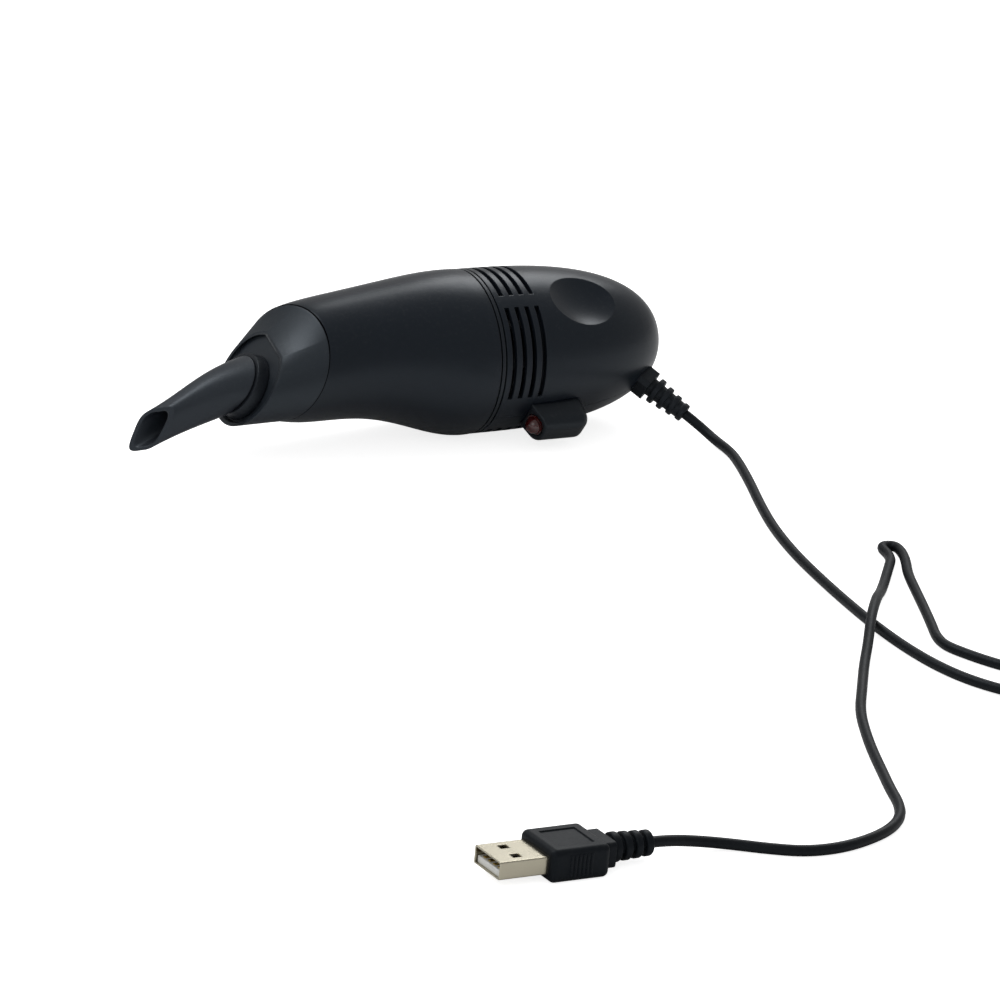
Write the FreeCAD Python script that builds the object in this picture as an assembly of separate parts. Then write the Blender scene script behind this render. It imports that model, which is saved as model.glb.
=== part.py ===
"""Desktop mini vacuum cleaner with a plug-in lead, laid out as it lies on a table.

Millimetres, +Z up. The body's axis runs along X at the height of the locking ring's radius, with the
nozzle towards -X. The origin is on the table, under the middle of the cleaner without its lead.
"""

import FreeCAD, Part
import math
import os

os.makedirs("parts", exist_ok=True)

Vector = FreeCAD.Vector
Rotation = FreeCAD.Rotation
Placement = FreeCAD.Placement

X_AXIS = Vector(1, 0, 0)
Y_AXIS = Vector(0, 1, 0)
Z_AXIS = Vector(0, 0, 1)
NOWHERE = Vector(0, 0, 0)

# How it lies: where the ring's centre is, and how far the rear housing is rolled towards the viewer.
RING_FORWARD = 18.4
RING_ACROSS = 1.2
HOUSING_ROLL = -53.4

# Overall form
RING_RADIUS = 23.0
TABLE_GAP = 0.02
RING_HEIGHT = RING_RADIUS + TABLE_GAP
TAIL_POWER = 2.8
ROUND_POWER = 2.4
WALL = 1.6
OVERRUN = 2.0
RUNNING_GAP = 0.3
SHAFT_CLEARANCE = 0.06
HALF_SEAM = 0.06

# Locking ring between two grooves
GROOVE = 0.5
RING_WIDTH = 0.9
SPIGOT_INSET = 4.4
SPIGOT_RADIUS = RING_RADIUS - SPIGOT_INSET
SPIGOT_WALL = 1.4
SPIGOT_LENGTH = 8.0
WEB_THICKNESS = 1.6

# Air outlet slots: four rows, in four groups round the housing
SLOT_START = 4.0
SLOT_PITCH = 3.2
SLOT_WIDTH = 1.5
SLOT_ROWS = 4
SLOT_FROM = 5.0
SLOT_TO = 72.0

# Finger dimples on both sides
DIMPLE_AT = 33.4
DIMPLE_BALL = 26.0
DIMPLE_DEPTH = 2.6

# Dust chamber: place along it, radius and rise of each section, as shares
CHAMBER_LENGTH = 40.7
CHAMBER_RISE = 2.0
CHAMBER_SHARES = ((0.0, 1.0, 0.0), (0.333, 0.95, 0.43), (0.667, 0.83, 1.0), (1.0, 0.761, 0.88))
CHAMBER_WALL = 1.5

# Oblique joint between chamber and front cone
SEAM_REACH = 57.0
SEAM_RISE = 1.8
SEAM_ASIDE = -2.2
SEAM_SHARE = 0.7
SEAM_RADIUS = RING_RADIUS * SEAM_SHARE
SEAM_TILT = 24.0
SEAM_TURN = 45.0

# Front cone and its recessed face
FACE_REACH = 66.7
FACE_DROP = 2.7
FACE_SHARE = 0.609
FACE_RADIUS = RING_RADIUS * FACE_SHARE
FACE_TILT = 27.0
FACE_RECESS = 0.9
FACE_PLATE = 0.9
RIM_WALL = 1.1

# Facet on the cone's near shoulder: from and to angle at the seam and at the rim
FACET_AT_SEAM = (-3.0, 51.0)
FACET_AT_RIM = (-12.0, 44.0)

# Swivel collar in the face
COLLAR_DROP = 2.5
COLLAR_INSET = 4.5
COLLAR_RADIUS = FACE_RADIUS - COLLAR_INSET
COLLAR_TAPER = 0.6
COLLAR_STEP = 1.8
COLLAR_NECK = COLLAR_RADIUS - COLLAR_STEP
COLLAR_WALL = 1.0
COLLAR_BORE = COLLAR_NECK - COLLAR_WALL
COLLAR_STAND = 2.6
COLLAR_LIP = 0.7
COLLAR_FLANGE = COLLAR_NECK + COLLAR_LIP
COLLAR_FLANGE_THICKNESS = 0.7

# Crevice nozzle
NOZZLE_SHOULDER = 1.2
NOZZLE_FOOT_RADIUS = COLLAR_BORE + NOZZLE_SHOULDER
SLEEVE_LENGTH = 8.0
SLEEVE_STEP = 0.4
NOZZLE_WALL = 0.8
NOZZLE_LENGTH = 37.4
NOZZLE_DROOP = 24.0
NOZZLE_TIP_TALL = 8.4
NOZZLE_TIP_THICK = 5.8

# The mouth's plane: where it meets the nozzle's axis, and how far it leans up and to the near side
NOZZLE_MOUTH_AT = 28.0
NOZZLE_MOUTH_UP_SHARE = 1.0
NOZZLE_MOUTH_NEAR_SHARE = 1.15

# Filter basket on the spigot
FILTER_LENGTH = 15.0
FILTER_INSET = 3.6
FILTER_TAPER = 5.0
FILTER_BASE_RADIUS = SPIGOT_RADIUS - FILTER_INSET
FILTER_TIP_RADIUS = FILTER_BASE_RADIUS - FILTER_TAPER
FILTER_FLANGE = 1.2
FILTER_RIB_COUNT = 6
FILTER_RIB_SWEEP = 9.0
FILTER_RIB_THICKNESS = 1.0
FILTER_CLOTH = 0.5

# Fan
INLET_PLATE = 1.2
INLET_RADIUS = 8.0
FAN_INSET = 6.6
FAN_RADIUS = RING_RADIUS - FAN_INSET
FAN_DEPTH = 7.4
FAN_GAP = 1.2
FAN_PLATE = 0.9
FAN_HUB_RADIUS = 3.4
FAN_BLADES = 9
FAN_BLADE_THICKNESS = 0.9
FAN_BLADE_INNER = 6.0
FAN_BLADE_SWEEP = 34.0
FAN_BLADE_POWER = 1.3

# Motor
MOTOR_PLATE = 1.8
MOTOR_INSET = 11.1
MOTOR_RADIUS = RING_RADIUS - MOTOR_INSET
MOTOR_LENGTH = 26.0
MOTOR_CASE = 0.8
MOTOR_BOSS_RADIUS = 3.1
MOTOR_BOSS_HEIGHT = 1.2
SHAFT_RADIUS = 1.0
SHAFT_END = 1.2
END_CAP_THICKNESS = 2.0
ARMATURE_RADIUS = 8.6
ARMATURE_LENGTH = 15.0
ARMATURE_POLES = 3
MAGNET_GAP = 0.5
MAGNET_SWEEP = 130.0
COMMUTATOR_RADIUS = 2.6
COMMUTATOR_LENGTH = 3.0
TERMINAL_LENGTH = 3.2
TERMINAL_WIDTH = 2.2
TERMINAL_THICKNESS = 0.4
CRADLE_RIB = 1.6
CRADLE_BACK = 4.0

# Places along the body that follow from the parts inside
HOUSING_FRONT = 2 * GROOVE + RING_WIDTH - GROOVE / 2
FAN_FRONT = HOUSING_FRONT + WEB_THICKNESS + INLET_PLATE + FAN_GAP
FAN_BACK = FAN_FRONT + FAN_DEPTH
MOTOR_PLATE_FRONT = FAN_BACK + FAN_GAP
MOTOR_FRONT = MOTOR_PLATE_FRONT + MOTOR_PLATE
MOTOR_BACK = MOTOR_FRONT + MOTOR_LENGTH
BEHIND_MOTOR = 19.25
TAIL_LENGTH = MOTOR_BACK + BEHIND_MOTOR

# Screws across the halves: place along the body and place towards the top
FRONT_SCREW_AT = 22.0
FRONT_SCREW_UP = 15.2
REAR_SCREW_BEHIND = 7.25
REAR_SCREW_UP = 10.0
SCREW_PLACES = ((FRONT_SCREW_AT, FRONT_SCREW_UP), (MOTOR_BACK + REAR_SCREW_BEHIND, REAR_SCREW_UP))
SCREW_RADIUS = 1.0
SCREW_HEAD_RADIUS = 1.9
SCREW_HEAD_HEIGHT = 1.4
SCREW_SINK = 1.0
SCREW_BOSS_RADIUS = 2.9
SCREW_GRIP = 6.0
SCREW_CROSS_SHARE = 0.7

# Light pod
POD_FRONT = 11.8
POD_LENGTH = 17.0
POD_WIDTH = 9.4
POD_REACH = 7.0
POD_SLOPE = 2.5
POD_ROUND = 3.2
POD_TAIL_ROUND = 2.7
POD_ROOT = 3.0
POD_LAMP_SHARE = 0.48
LAMP_RADIUS = 2.5
LAMP_RIM_RADIUS = 2.9
LAMP_RIM_HEIGHT = 1.0
LAMP_BODY = 2.9
LAMP_GAP = 0.08
LEAD_THICKNESS = 0.5
LEAD_SPREAD = 1.27
LEAD_LENGTH = 2.4

# Board
BOARD_AT = 17.5
BOARD_LENGTH = 15.0
BOARD_WIDTH = 11.0
BOARD_THICKNESS = 1.0
BOARD_INSET = 8.8
BOARD_DEPTH = RING_RADIUS - BOARD_INSET
BOARD_POST = 1.1
BOARD_POST_SPREAD = 3.6
RESISTOR_RADIUS = 0.9
RESISTOR_LENGTH = 6.0

# Slide switch
SWITCH_AT = 36.0
SWITCH_TILT = 13.5
SWITCH_SINK = 1.5
SWITCH_POCKET_LENGTH = 19.0
SWITCH_POCKET_WIDTH = 9.0
SWITCH_KNOB_LENGTH = 8.0
SWITCH_KNOB_WIDTH = 6.4
SWITCH_KNOB_HEIGHT = 1.7
SWITCH_RIDGES = 4
SWITCH_RIDGE_HEIGHT = 0.5
SWITCH_TRAVEL = 3.0
SWITCH_STEM = 2.4
SWITCH_STEM_DEPTH = 3.0
SWITCH_BODY_LENGTH = 11.0
SWITCH_BODY_WIDTH = 5.6
SWITCH_BODY_HEIGHT = 3.2
SWITCH_PIN_LENGTH = 0.6
SWITCH_PIN_PITCH = 3.1

# Lead wires inside
WIRE_RADIUS = 0.55
WIRE_SPREAD = 7.5

# Strain relief at the housing
BOOT_BEHIND = 8.65
BOOT_AT = MOTOR_BACK + BOOT_BEHIND
BOOT_DROP = 11.6
BOOT_DIP = 55.0
BOOT_BLOCK = 7.6
BOOT_BLOCK_LENGTH = 6.6
BOOT_CUT_SHARE = 0.166
BOOT_RIBS = 4
BOOT_RIB_WIDTH = 1.7
BOOT_RIB_PITCH = 3.1
BOOT_RIB_RADIUS = 3.9
BOOT_END_RADIUS = 2.7
BOOT_CORE = 2.3

# Cord
CORD_DIAMETER = 2.8
CORD_RADIUS = CORD_DIAMETER / 2
CORD_ARC_SHARE = 0.45
CORD_LEAD = 5.0

# Plug, lying on its side face
PLUG_AT_X = -111.6
PLUG_AT_Y = -296.7
PLUG_TURN = 0.0
PLUG_BODY_LENGTH = 16.2
PLUG_BODY_WIDTH = 16.0
PLUG_BODY_HEIGHT = 8.4
PLUG_NECK = 3.0
PLUG_NECK_WIDTH = 10.6
PLUG_NECK_HEIGHT = 6.6
PLUG_NECK_ROUND = 1.2
PLUG_CORNER = 1.6
PLUG_FRAME = 0.3
SHELL_WIDTH = 12.0
SHELL_HEIGHT = 4.5
SHELL_LENGTH = 13.0
SHELL_METAL = 0.35
SHELL_SEAT = 2.0
WINDOW_LENGTH = 2.4
WINDOW_WIDTH = 2.2
WINDOW_SPREAD = 2.9
WINDOW_FROM_BACK = 6.0
TONGUE_HEIGHT = 1.7
TONGUE_SHORT = 0.6
CONTACT_COUNT = 4
CONTACT_PITCH = 2.3
CONTACT_WIDTH = 1.1
CONTACT_LENGTH = 7.6
CONTACT_HEIGHT = 0.25
GRIP_RIDGES = 6
GRIP_PITCH = 1.1
GRIP_RIDGE_WIDTH = 0.55
GRIP_HEIGHT = 0.25
PLUG_BOOT_LENGTH = 12.0
PLUG_BOOT_RADIUS = 3.7
PLUG_BOOT_END = 3.2
PLUG_BOOT_CORE = 2.9
PLUG_BOOT_RINGS = 4
PLUG_BOOT_RING_WIDTH = 2.0

# Coil of the length put away
COIL_X = 85.7
COIL_Y = -241.8
COIL_INNER = 10.3
COIL_TURNS = 3
COIL_PITCH = 3.3
COIL_FROM = 217.0
COIL_TURN_EXTRA = 0.5
COIL_OVER_SHARE = 0.12
COIL_SMALL_SHARE = 0.002
TIE_THICKNESS = 0.8
TIE_WIDTH = 5.0
TIE_GAP = 0.7
TIE_TURN = 20.0


def keep(name, shape):
    """Write one node."""
    shape.exportStep("parts/" + name + ".step")
    print("%-20s solids %2d volume %10.2f valid %s" % (
        name, len(shape.Solids), shape.Volume, shape.isValid()))


def at_ring(shape):
    """Move a shape from the ring's centre to its place over the table."""
    moved = shape.copy()
    moved.translate(Vector(RING_FORWARD, RING_ACROSS, RING_HEIGHT))
    return moved


def in_housing(shape):
    """Roll a shape with the rear housing, then move it to its place."""
    rolled = shape.copy()
    rolled.rotate(NOWHERE, X_AXIS, HOUSING_ROLL)
    return at_ring(rolled)


def tube(inner, outer, start, end):
    """A plain tube along X."""
    length = end - start
    solid = Part.makeCylinder(outer, length, Vector(start, 0, 0), X_AXIS)
    if inner > 0:
        bore = Part.makeCylinder(inner, length + 2 * OVERRUN, Vector(start - OVERRUN, 0, 0), X_AXIS)
        solid = solid.cut(bore)
    return solid


def block(x_low, x_high, y_low, y_high, z_low, z_high):
    """A box between two corners."""
    return Part.makeBox(x_high - x_low, y_high - y_low, z_high - z_low, Vector(x_low, y_low, z_low))


def turned_profile(points, degrees, start_angle):
    """Turn an outline of (place along X, radius) about X."""
    corners = [Vector(along, radius, 0) for along, radius in points]
    face = Part.Face(Part.makePolygon(corners + corners[:1]))
    face.rotate(NOWHERE, X_AXIS, start_angle)
    return face.revolve(NOWHERE, X_AXIS, degrees)


def ring_wire(centre, normal, up, radius):
    """A circle whose start point lies towards up."""
    edge = Part.makeCircle(radius)
    placing = Placement(centre, Rotation(up, normal.cross(up), normal, "ZXY"))
    edge.Placement = placing
    return Part.Wire([edge])


def square_up(direction, across):
    """The part of one direction that is square to another."""
    clean = direction - across * direction.dot(across)
    clean.normalize()
    return clean


def half_space(point, normal, size):
    """A big block on the side of a plane that its normal points to."""
    side = square_up(Y_AXIS if abs(normal.y) < abs(normal.x) else X_AXIS, normal)
    slab = Part.makeBox(size, size, size, Vector(-size / 2, -size / 2, 0))
    slab.Placement = Placement(point, Rotation(side, normal.cross(side), normal, "ZXY"))
    return slab


BIG = 4 * RING_RADIUS
NEARLY_ONE = 0.9
TINY = 1e-6


def housing_form(inset):
    """The rear housing's blunt egg, from the ring to the tail."""
    reach = TAIL_LENGTH - inset
    radius = RING_RADIUS - inset
    steps = 9
    points = []
    for step in range(steps + 1):
        angle = math.radians(90.0 * step / steps)
        along = reach * math.sin(angle) ** (2 / TAIL_POWER)
        out = radius * max(math.cos(angle), 0.0) ** (2 / ROUND_POWER) if step < steps else 0.0
        points.append(Vector(along, out, 0))
    curve = Part.BSplineCurve()
    curve.interpolate(Points=points, InitialTangent=X_AXIS, FinalTangent=Y_AXIS * -1)
    edges = [curve.toShape(), Part.makeLine(points[-1], NOWHERE), Part.makeLine(NOWHERE, points[0])]
    return Part.Face(Part.Wire(edges)).revolve(NOWHERE, X_AXIS, 360)


def housing_radius(along):
    """The rear housing's outer radius at a place along it."""
    share = min(along / TAIL_LENGTH, 1.0)
    return RING_RADIUS * (1 - share ** TAIL_POWER) ** (1 / ROUND_POWER)




def in_switch(shape):
    """Place a shape of the switch, whose zero height is the pocket's floor, in the housing."""
    placed = shape.copy()
    placed.rotate(NOWHERE, Y_AXIS, SWITCH_TILT)
    placed.translate(Vector(SWITCH_AT, 0, housing_radius(SWITCH_AT) - SWITCH_SINK))
    return placed


def stadium(length, width, low, high):
    """A long hole's form, with round ends, upright."""
    straight = length - width
    slab = block(-straight / 2, straight / 2, -width / 2, width / 2, low, high)
    for side in (-1, 1):
        end = Part.makeCylinder(width / 2, high - low, Vector(side * straight / 2, 0, low), Z_AXIS)
        slab = slab.fuse(end)
    return slab.removeSplitter()


def runs_along(edge, axis):
    """Whether an edge runs nearly along an axis."""
    return abs(edge.tangentAt(edge.FirstParameter).dot(axis)) > NEARLY_ONE


def boot_direction():
    """The way that the cord leaves the housing, in the housing's own frame."""
    dip = math.radians(BOOT_DIP)
    return Vector(math.cos(dip), 0, -math.sin(dip))


def boot_base():
    """Where the strain relief leaves the housing, in the housing's own frame."""
    return Vector(BOOT_AT, 0, -BOOT_DROP)


def boot_block(extra, low, high):
    """The square foot of the strain relief, with its corners cut."""
    size = BOOT_BLOCK + 2 * extra
    foot = block(-size / 2, size / 2, -size / 2, size / 2, low, high)
    foot = foot.makeChamfer(size * BOOT_CUT_SHARE, [edge for edge in foot.Edges if runs_along(edge, Z_AXIS)])
    foot.Placement = Placement(boot_base(), Rotation(Z_AXIS, boot_direction()))
    return foot


def make_housing():
    """Both half shells of the rear housing, with all that is moulded into them."""
    outer = housing_form(0)
    hollow = housing_form(WALL)
    side_ball = RING_RADIUS + DIMPLE_BALL - DIMPLE_DEPTH
    reach = housing_radius(DIMPLE_AT)
    dimples = []
    for side in (-1, 1):
        centre = Vector(DIMPLE_AT, side * (side_ball - RING_RADIUS + reach), 0)
        dimples.append(Part.makeSphere(DIMPLE_BALL, centre))
        hollow = hollow.cut(Part.makeSphere(DIMPLE_BALL + WALL, centre))
    pocket_tall = SWITCH_SINK + OVERRUN
    pad = stadium(SWITCH_POCKET_LENGTH + 2 * WALL, SWITCH_POCKET_WIDTH + 2 * WALL, -WALL, pocket_tall)
    hollow = hollow.cut(in_switch(pad))
    shell = outer.cut(hollow)
    front = tube(0, BIG, -BIG, HOUSING_FRONT)
    shell = shell.cut(front)
    spigot = tube(SPIGOT_RADIUS - SPIGOT_WALL, SPIGOT_RADIUS, -SPIGOT_LENGTH, HOUSING_FRONT + WEB_THICKNESS)
    web_back = HOUSING_FRONT + WEB_THICKNESS
    web = tube(SPIGOT_RADIUS - SPIGOT_WALL, RING_RADIUS - WALL / 2, HOUSING_FRONT, web_back)
    additions = [spigot, web]
    cradle_start = MOTOR_BACK - CRADLE_BACK - CRADLE_RIB
    cradle = tube(MOTOR_RADIUS, BIG, cradle_start, cradle_start + CRADLE_RIB).common(housing_form(WALL / 2))
    additions.append(cradle)
    for along, up in SCREW_PLACES:
        boss = Part.makeCylinder(SCREW_BOSS_RADIUS, BIG, Vector(along, -BIG / 2, up), Y_AXIS)
        additions.append(boss.common(housing_form(WALL / 2)))
    for side in (-1, 1):
        at = Vector(BOARD_AT + BOARD_LENGTH / 2, side * BOARD_POST_SPREAD, -RING_RADIUS)
        tall = RING_RADIUS - BOARD_DEPTH - BOARD_THICKNESS
        post = Part.makeCylinder(BOARD_POST, tall, at, Z_AXIS)
        additions.append(post.common(housing_form(WALL / 2)))
    socket = boot_block(WALL, -BOOT_BLOCK_LENGTH, BOOT_BLOCK_LENGTH).common(housing_form(WALL / 2))
    additions.append(socket)
    shell = shell.multiFuse(additions)
    # Free the room for the motor, fan and board that the ribs and bosses ran into
    shell = shell.cut(tube(0, MOTOR_RADIUS, MOTOR_FRONT - OVERRUN, MOTOR_BACK + END_CAP_THICKNESS + OVERRUN))
    shell = shell.cut(tube(0, FAN_RADIUS + FAN_GAP, HOUSING_FRONT + WEB_THICKNESS, MOTOR_FRONT))
    for side in (-1, 1):
        low_side = side * WIRE_SPREAD - 2 * WIRE_RADIUS
        high_side = side * WIRE_SPREAD + 2 * WIRE_RADIUS
        shell = shell.cut(block(cradle_start - OVERRUN, cradle_start + CRADLE_RIB + OVERRUN,
                                low_side, high_side, -MOTOR_RADIUS - WIRE_RADIUS, 0))
    shell = shell.cut(seat_rings())
    pin_room = switch_block(RUNNING_GAP / 2)
    pin_room.translate(Vector(0, 0, -SWITCH_PIN_LENGTH))
    shell = shell.cut(in_switch(switch_block(RUNNING_GAP / 2).fuse(pin_room)))
    for row in range(SLOT_ROWS):
        start = SLOT_START + row * SLOT_PITCH - SLOT_WIDTH / 2
        low = FAN_RADIUS + FAN_GAP
        outline = ((start, low), (start + SLOT_WIDTH, low), (start + SLOT_WIDTH, BIG), (start, BIG))
        for quarter in range(4):
            mirrored = quarter % 2
            begin = quarter * 90 + (90 - SLOT_TO if mirrored else SLOT_FROM)
            shell = shell.cut(turned_profile(outline, SLOT_TO - SLOT_FROM, begin))
    for dimple in dimples:
        shell = shell.cut(dimple)
    pocket = stadium(SWITCH_POCKET_LENGTH, SWITCH_POCKET_WIDTH, 0, pocket_tall + OVERRUN)
    half_slot = (SWITCH_STEM + SWITCH_TRAVEL) / 2 + RUNNING_GAP
    half_stem = SWITCH_STEM / 2 + RUNNING_GAP
    stem_slot = block(-half_slot, half_slot, -half_stem, half_stem, -WALL - OVERRUN, OVERRUN)
    shell = shell.cut(in_switch(pocket)).cut(in_switch(stem_slot))
    shell = shell.cut(boot_block(0, -2 * BOOT_BLOCK_LENGTH, BIG))
    shell = shell.cut(pod_wire_hole())
    for along, up in SCREW_PLACES:
        bore = Part.makeCylinder(SCREW_RADIUS, BIG, Vector(along, -SCREW_GRIP, up), Y_AXIS)
        far_side = math.sqrt(max(housing_radius(along) ** 2 - up ** 2, WALL))
        well = Part.makeCylinder(SCREW_HEAD_RADIUS + LAMP_GAP, BIG,
                                 Vector(along, far_side - SCREW_SINK - SCREW_HEAD_HEIGHT, up), Y_AXIS)
        shell = shell.cut(bore).cut(well)
    near = shell.cut(half_space(Vector(0, -HALF_SEAM, 0), Y_AXIS, 2 * BIG))
    far = shell.cut(half_space(Vector(0, HALF_SEAM, 0), Y_AXIS * -1, 2 * BIG))
    return near, far


def switch_block(extra):
    """The switch body's outer form under the pocket."""
    return block(-SWITCH_BODY_LENGTH / 2 - extra, SWITCH_BODY_LENGTH / 2 + extra,
                 -SWITCH_BODY_WIDTH / 2 - extra, SWITCH_BODY_WIDTH / 2 + extra,
                 -WALL - SWITCH_BODY_HEIGHT - extra, -WALL)


def seat_rings():
    """The grooves inside the housing that hold the inlet plate and the motor plate."""
    inlet = tube(0, RING_RADIUS - WALL - WALL / 2, HOUSING_FRONT + WEB_THICKNESS,
                 HOUSING_FRONT + WEB_THICKNESS + INLET_PLATE)
    return inlet


def largest(shape):
    """The biggest solid of a shape."""
    return max(shape.Solids, key=lambda solid: solid.Volume)


def pod_wire_hole():
    """The hole under the pod for the lamp's leads."""
    middle = POD_FRONT + POD_LENGTH / 2
    start = Vector(middle, 0, -BOARD_DEPTH - 2 * OVERRUN)
    return Part.makeCylinder(POD_ROOT, RING_RADIUS, start, Z_AXIS * -1)


def pod_front_normal():
    """The way the pod's sloping front faces."""
    normal = Vector(-POD_REACH, 0, -POD_SLOPE)
    normal.normalize()
    return normal


def lamp_place():
    """The middle of the lamp on the pod's sloping front."""
    along = POD_FRONT + POD_SLOPE * POD_LAMP_SHARE
    return Vector(along, 0, -RING_RADIUS - POD_REACH * POD_LAMP_SHARE)


def make_pod():
    """The pod that carries the lamp, seated on the housing."""
    deep = RING_RADIUS - POD_ROOT - WALL
    low = -RING_RADIUS - POD_REACH
    slope_extra = POD_SLOPE * (RING_RADIUS - deep) / POD_REACH
    corners = [Vector(POD_FRONT - slope_extra, -POD_WIDTH / 2, -deep),
               Vector(POD_FRONT + POD_SLOPE, -POD_WIDTH / 2, low),
               Vector(POD_FRONT + POD_LENGTH, -POD_WIDTH / 2, low),
               Vector(POD_FRONT + POD_LENGTH, -POD_WIDTH / 2, -deep)]
    face = Part.Face(Part.makePolygon(corners + corners[:1]))
    body = face.extrude(Vector(0, POD_WIDTH, 0))
    long_edges = []
    tail_edges = []
    outer_edges = [edge for edge in body.Edges if edge.CenterOfMass.z < -RING_RADIUS]
    for edge in outer_edges:
        if runs_along(edge, X_AXIS):
            long_edges.append(edge)
        elif runs_along(edge, Y_AXIS) and edge.CenterOfMass.x > POD_LENGTH:
            tail_edges.append(edge)
    body = body.makeFillet(POD_ROUND, long_edges + tail_edges)
    upright = [edge for edge in body.Edges
               if edge.CenterOfMass.x > POD_FRONT + POD_LENGTH - WALL
               and runs_along(edge, Z_AXIS)]
    body = body.makeFillet(POD_TAIL_ROUND, upright)
    body = body.cut(housing_form(0))
    normal = pod_front_normal()
    bore_start = lamp_place() - normal * (LAMP_BODY + LAMP_GAP)
    bore = Part.makeCylinder(LAMP_RADIUS + LAMP_GAP, LAMP_BODY + OVERRUN, bore_start, normal)
    rim_seat = Part.makeCylinder(LAMP_RIM_RADIUS + LAMP_GAP, LAMP_RIM_HEIGHT + OVERRUN,
                                 lamp_place() - normal * LAMP_RIM_HEIGHT, normal)
    middle = POD_FRONT + POD_LENGTH / 2
    leads_tall = POD_REACH - WALL + POD_ROOT
    leads_room = Part.makeCylinder(POD_ROOT, leads_tall, Vector(middle, 0, -deep), Z_AXIS * -1)
    tunnel = Part.makeCylinder(POD_ROOT - WALL / 2, LEAD_LENGTH, bore_start + normal * LAMP_GAP, normal * -1)
    body = body.cut(bore).cut(rim_seat).cut(leads_room).cut(tunnel)
    return largest(body)


def make_lamp():
    """The lamp, with its rim and dome, and its two leads."""
    normal = pod_front_normal()
    back = lamp_place() - normal * LAMP_BODY
    body = Part.makeCylinder(LAMP_RADIUS, LAMP_BODY, back, normal)
    dome = Part.makeSphere(LAMP_RADIUS, lamp_place())
    rim = Part.makeCylinder(LAMP_RIM_RADIUS, LAMP_RIM_HEIGHT - LAMP_GAP,
                            lamp_place() - normal * (LAMP_RIM_HEIGHT - LAMP_GAP), normal)
    lamp = body.multiFuse([dome, rim])
    leads = []
    for side in (-1, 1):
        start = back + Vector(0, side * LEAD_SPREAD, 0)
        leads.append(Part.makeCylinder(LEAD_THICKNESS / 2, LEAD_LENGTH, start, normal * -1))
    return lamp.removeSplitter(), Part.makeCompound(leads)


def make_lock_ring():
    """The narrow locking ring."""
    start = GROOVE / 2
    ring = tube(SPIGOT_RADIUS + RUNNING_GAP, RING_RADIUS, start, start + RING_WIDTH)
    return ring


def chamber_sections(inset):
    """Circles along the chamber, ending on the oblique joint."""
    wires = []
    for place_share, radius_share, rise_share in CHAMBER_SHARES:
        centre = Vector(-place_share * CHAMBER_LENGTH, 0, rise_share * CHAMBER_RISE)
        wires.append(ring_wire(centre, X_AXIS * -1, Z_AXIS, RING_RADIUS * radius_share - inset))
    wires.append(seam_wire(inset))
    return wires


def seam_frame():
    """Centre, normal and up direction of the oblique joint."""
    tilt = math.radians(SEAM_TILT)
    turn = math.radians(SEAM_TURN)
    normal = Vector(-math.cos(tilt), -math.sin(tilt) * math.cos(turn), math.sin(tilt) * math.sin(turn))
    return Vector(-SEAM_REACH, SEAM_ASIDE, SEAM_RISE), normal, square_up(Z_AXIS, normal)


def seam_wire(inset):
    """The circle of the oblique joint."""
    centre, normal, up = seam_frame()
    return ring_wire(centre, normal, up, SEAM_RADIUS - inset)


def face_frame():
    """Centre, normal and up direction of the cone's front rim."""
    tilt = math.radians(FACE_TILT)
    normal = Vector(-math.cos(tilt), 0, math.sin(tilt))
    up = Vector(math.sin(tilt), 0, math.cos(tilt))
    return Vector(-FACE_REACH, 0, -FACE_DROP), normal, up


def collar_centre():
    """The collar's middle, on the plane of the front rim."""
    frame = face_frame()
    return frame[0] - frame[2] * COLLAR_DROP


def facet_wire(frame, radius, angles, straight):
    """A ring in two parts: the long way round, and the facet's share, straight or round."""
    centre, normal, up = frame
    near = up.cross(normal)

    def place(angle):
        turn = math.radians(angle)
        return centre + up * (radius * math.cos(turn)) + near * (radius * math.sin(turn))

    start, end = angles
    back = (start + end) / 2 + 180
    long_way = Part.Arc(place(end), place(back), place(start)).toShape()
    if straight:
        short_way = Part.makeLine(place(start), place(end))
    else:
        short_way = Part.Arc(place(start), place((start + end) / 2), place(end)).toShape()
    return Part.Wire([long_way, short_way])


def cone_form(seam_inset, rim_inset):
    """The cone from the oblique joint to the front rim, with its facet."""
    seam = facet_wire(seam_frame(), SEAM_RADIUS - seam_inset, FACET_AT_SEAM, False)
    rim = facet_wire(face_frame(), FACE_RADIUS - rim_inset, FACET_AT_RIM, True)
    return Part.makeLoft([seam, rim], True, True)


def make_chamber():
    """The dust chamber, open at the ring and at the cone."""
    outer = Part.makeLoft(chamber_sections(0), True, False)
    inner = Part.makeLoft(chamber_sections(CHAMBER_WALL), True, False)
    chamber = outer.cut(inner)
    return chamber.cut(half_space(Vector(-GROOVE / 2, 0, 0), X_AXIS, 2 * BIG))


def make_cone():
    """The front cone with its recessed face and the hole for the collar."""
    outer = cone_form(0, 0)
    inner = cone_form(CHAMBER_WALL, RIM_WALL)
    centre, normal = face_frame()[:2]
    behind = centre - normal * FACE_RECESS
    plate = outer.cut(half_space(behind, normal, BIG))
    plate = plate.cut(half_space(behind - normal * FACE_PLATE, normal * -1, BIG))
    cone = outer.cut(inner).fuse(plate)
    hole = Part.makeCylinder(COLLAR_NECK + RUNNING_GAP, 2 * BIG, collar_centre() - normal * BIG, normal)
    plate_back = collar_centre() - normal * (FACE_RECESS + FACE_PLATE)
    flange_room = Part.makeCylinder(COLLAR_FLANGE + RUNNING_GAP, COLLAR_FLANGE_THICKNESS + 2 * RUNNING_GAP,
                                    plate_back, normal * -1)
    return cone.cut(hole).cut(flange_room)


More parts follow.
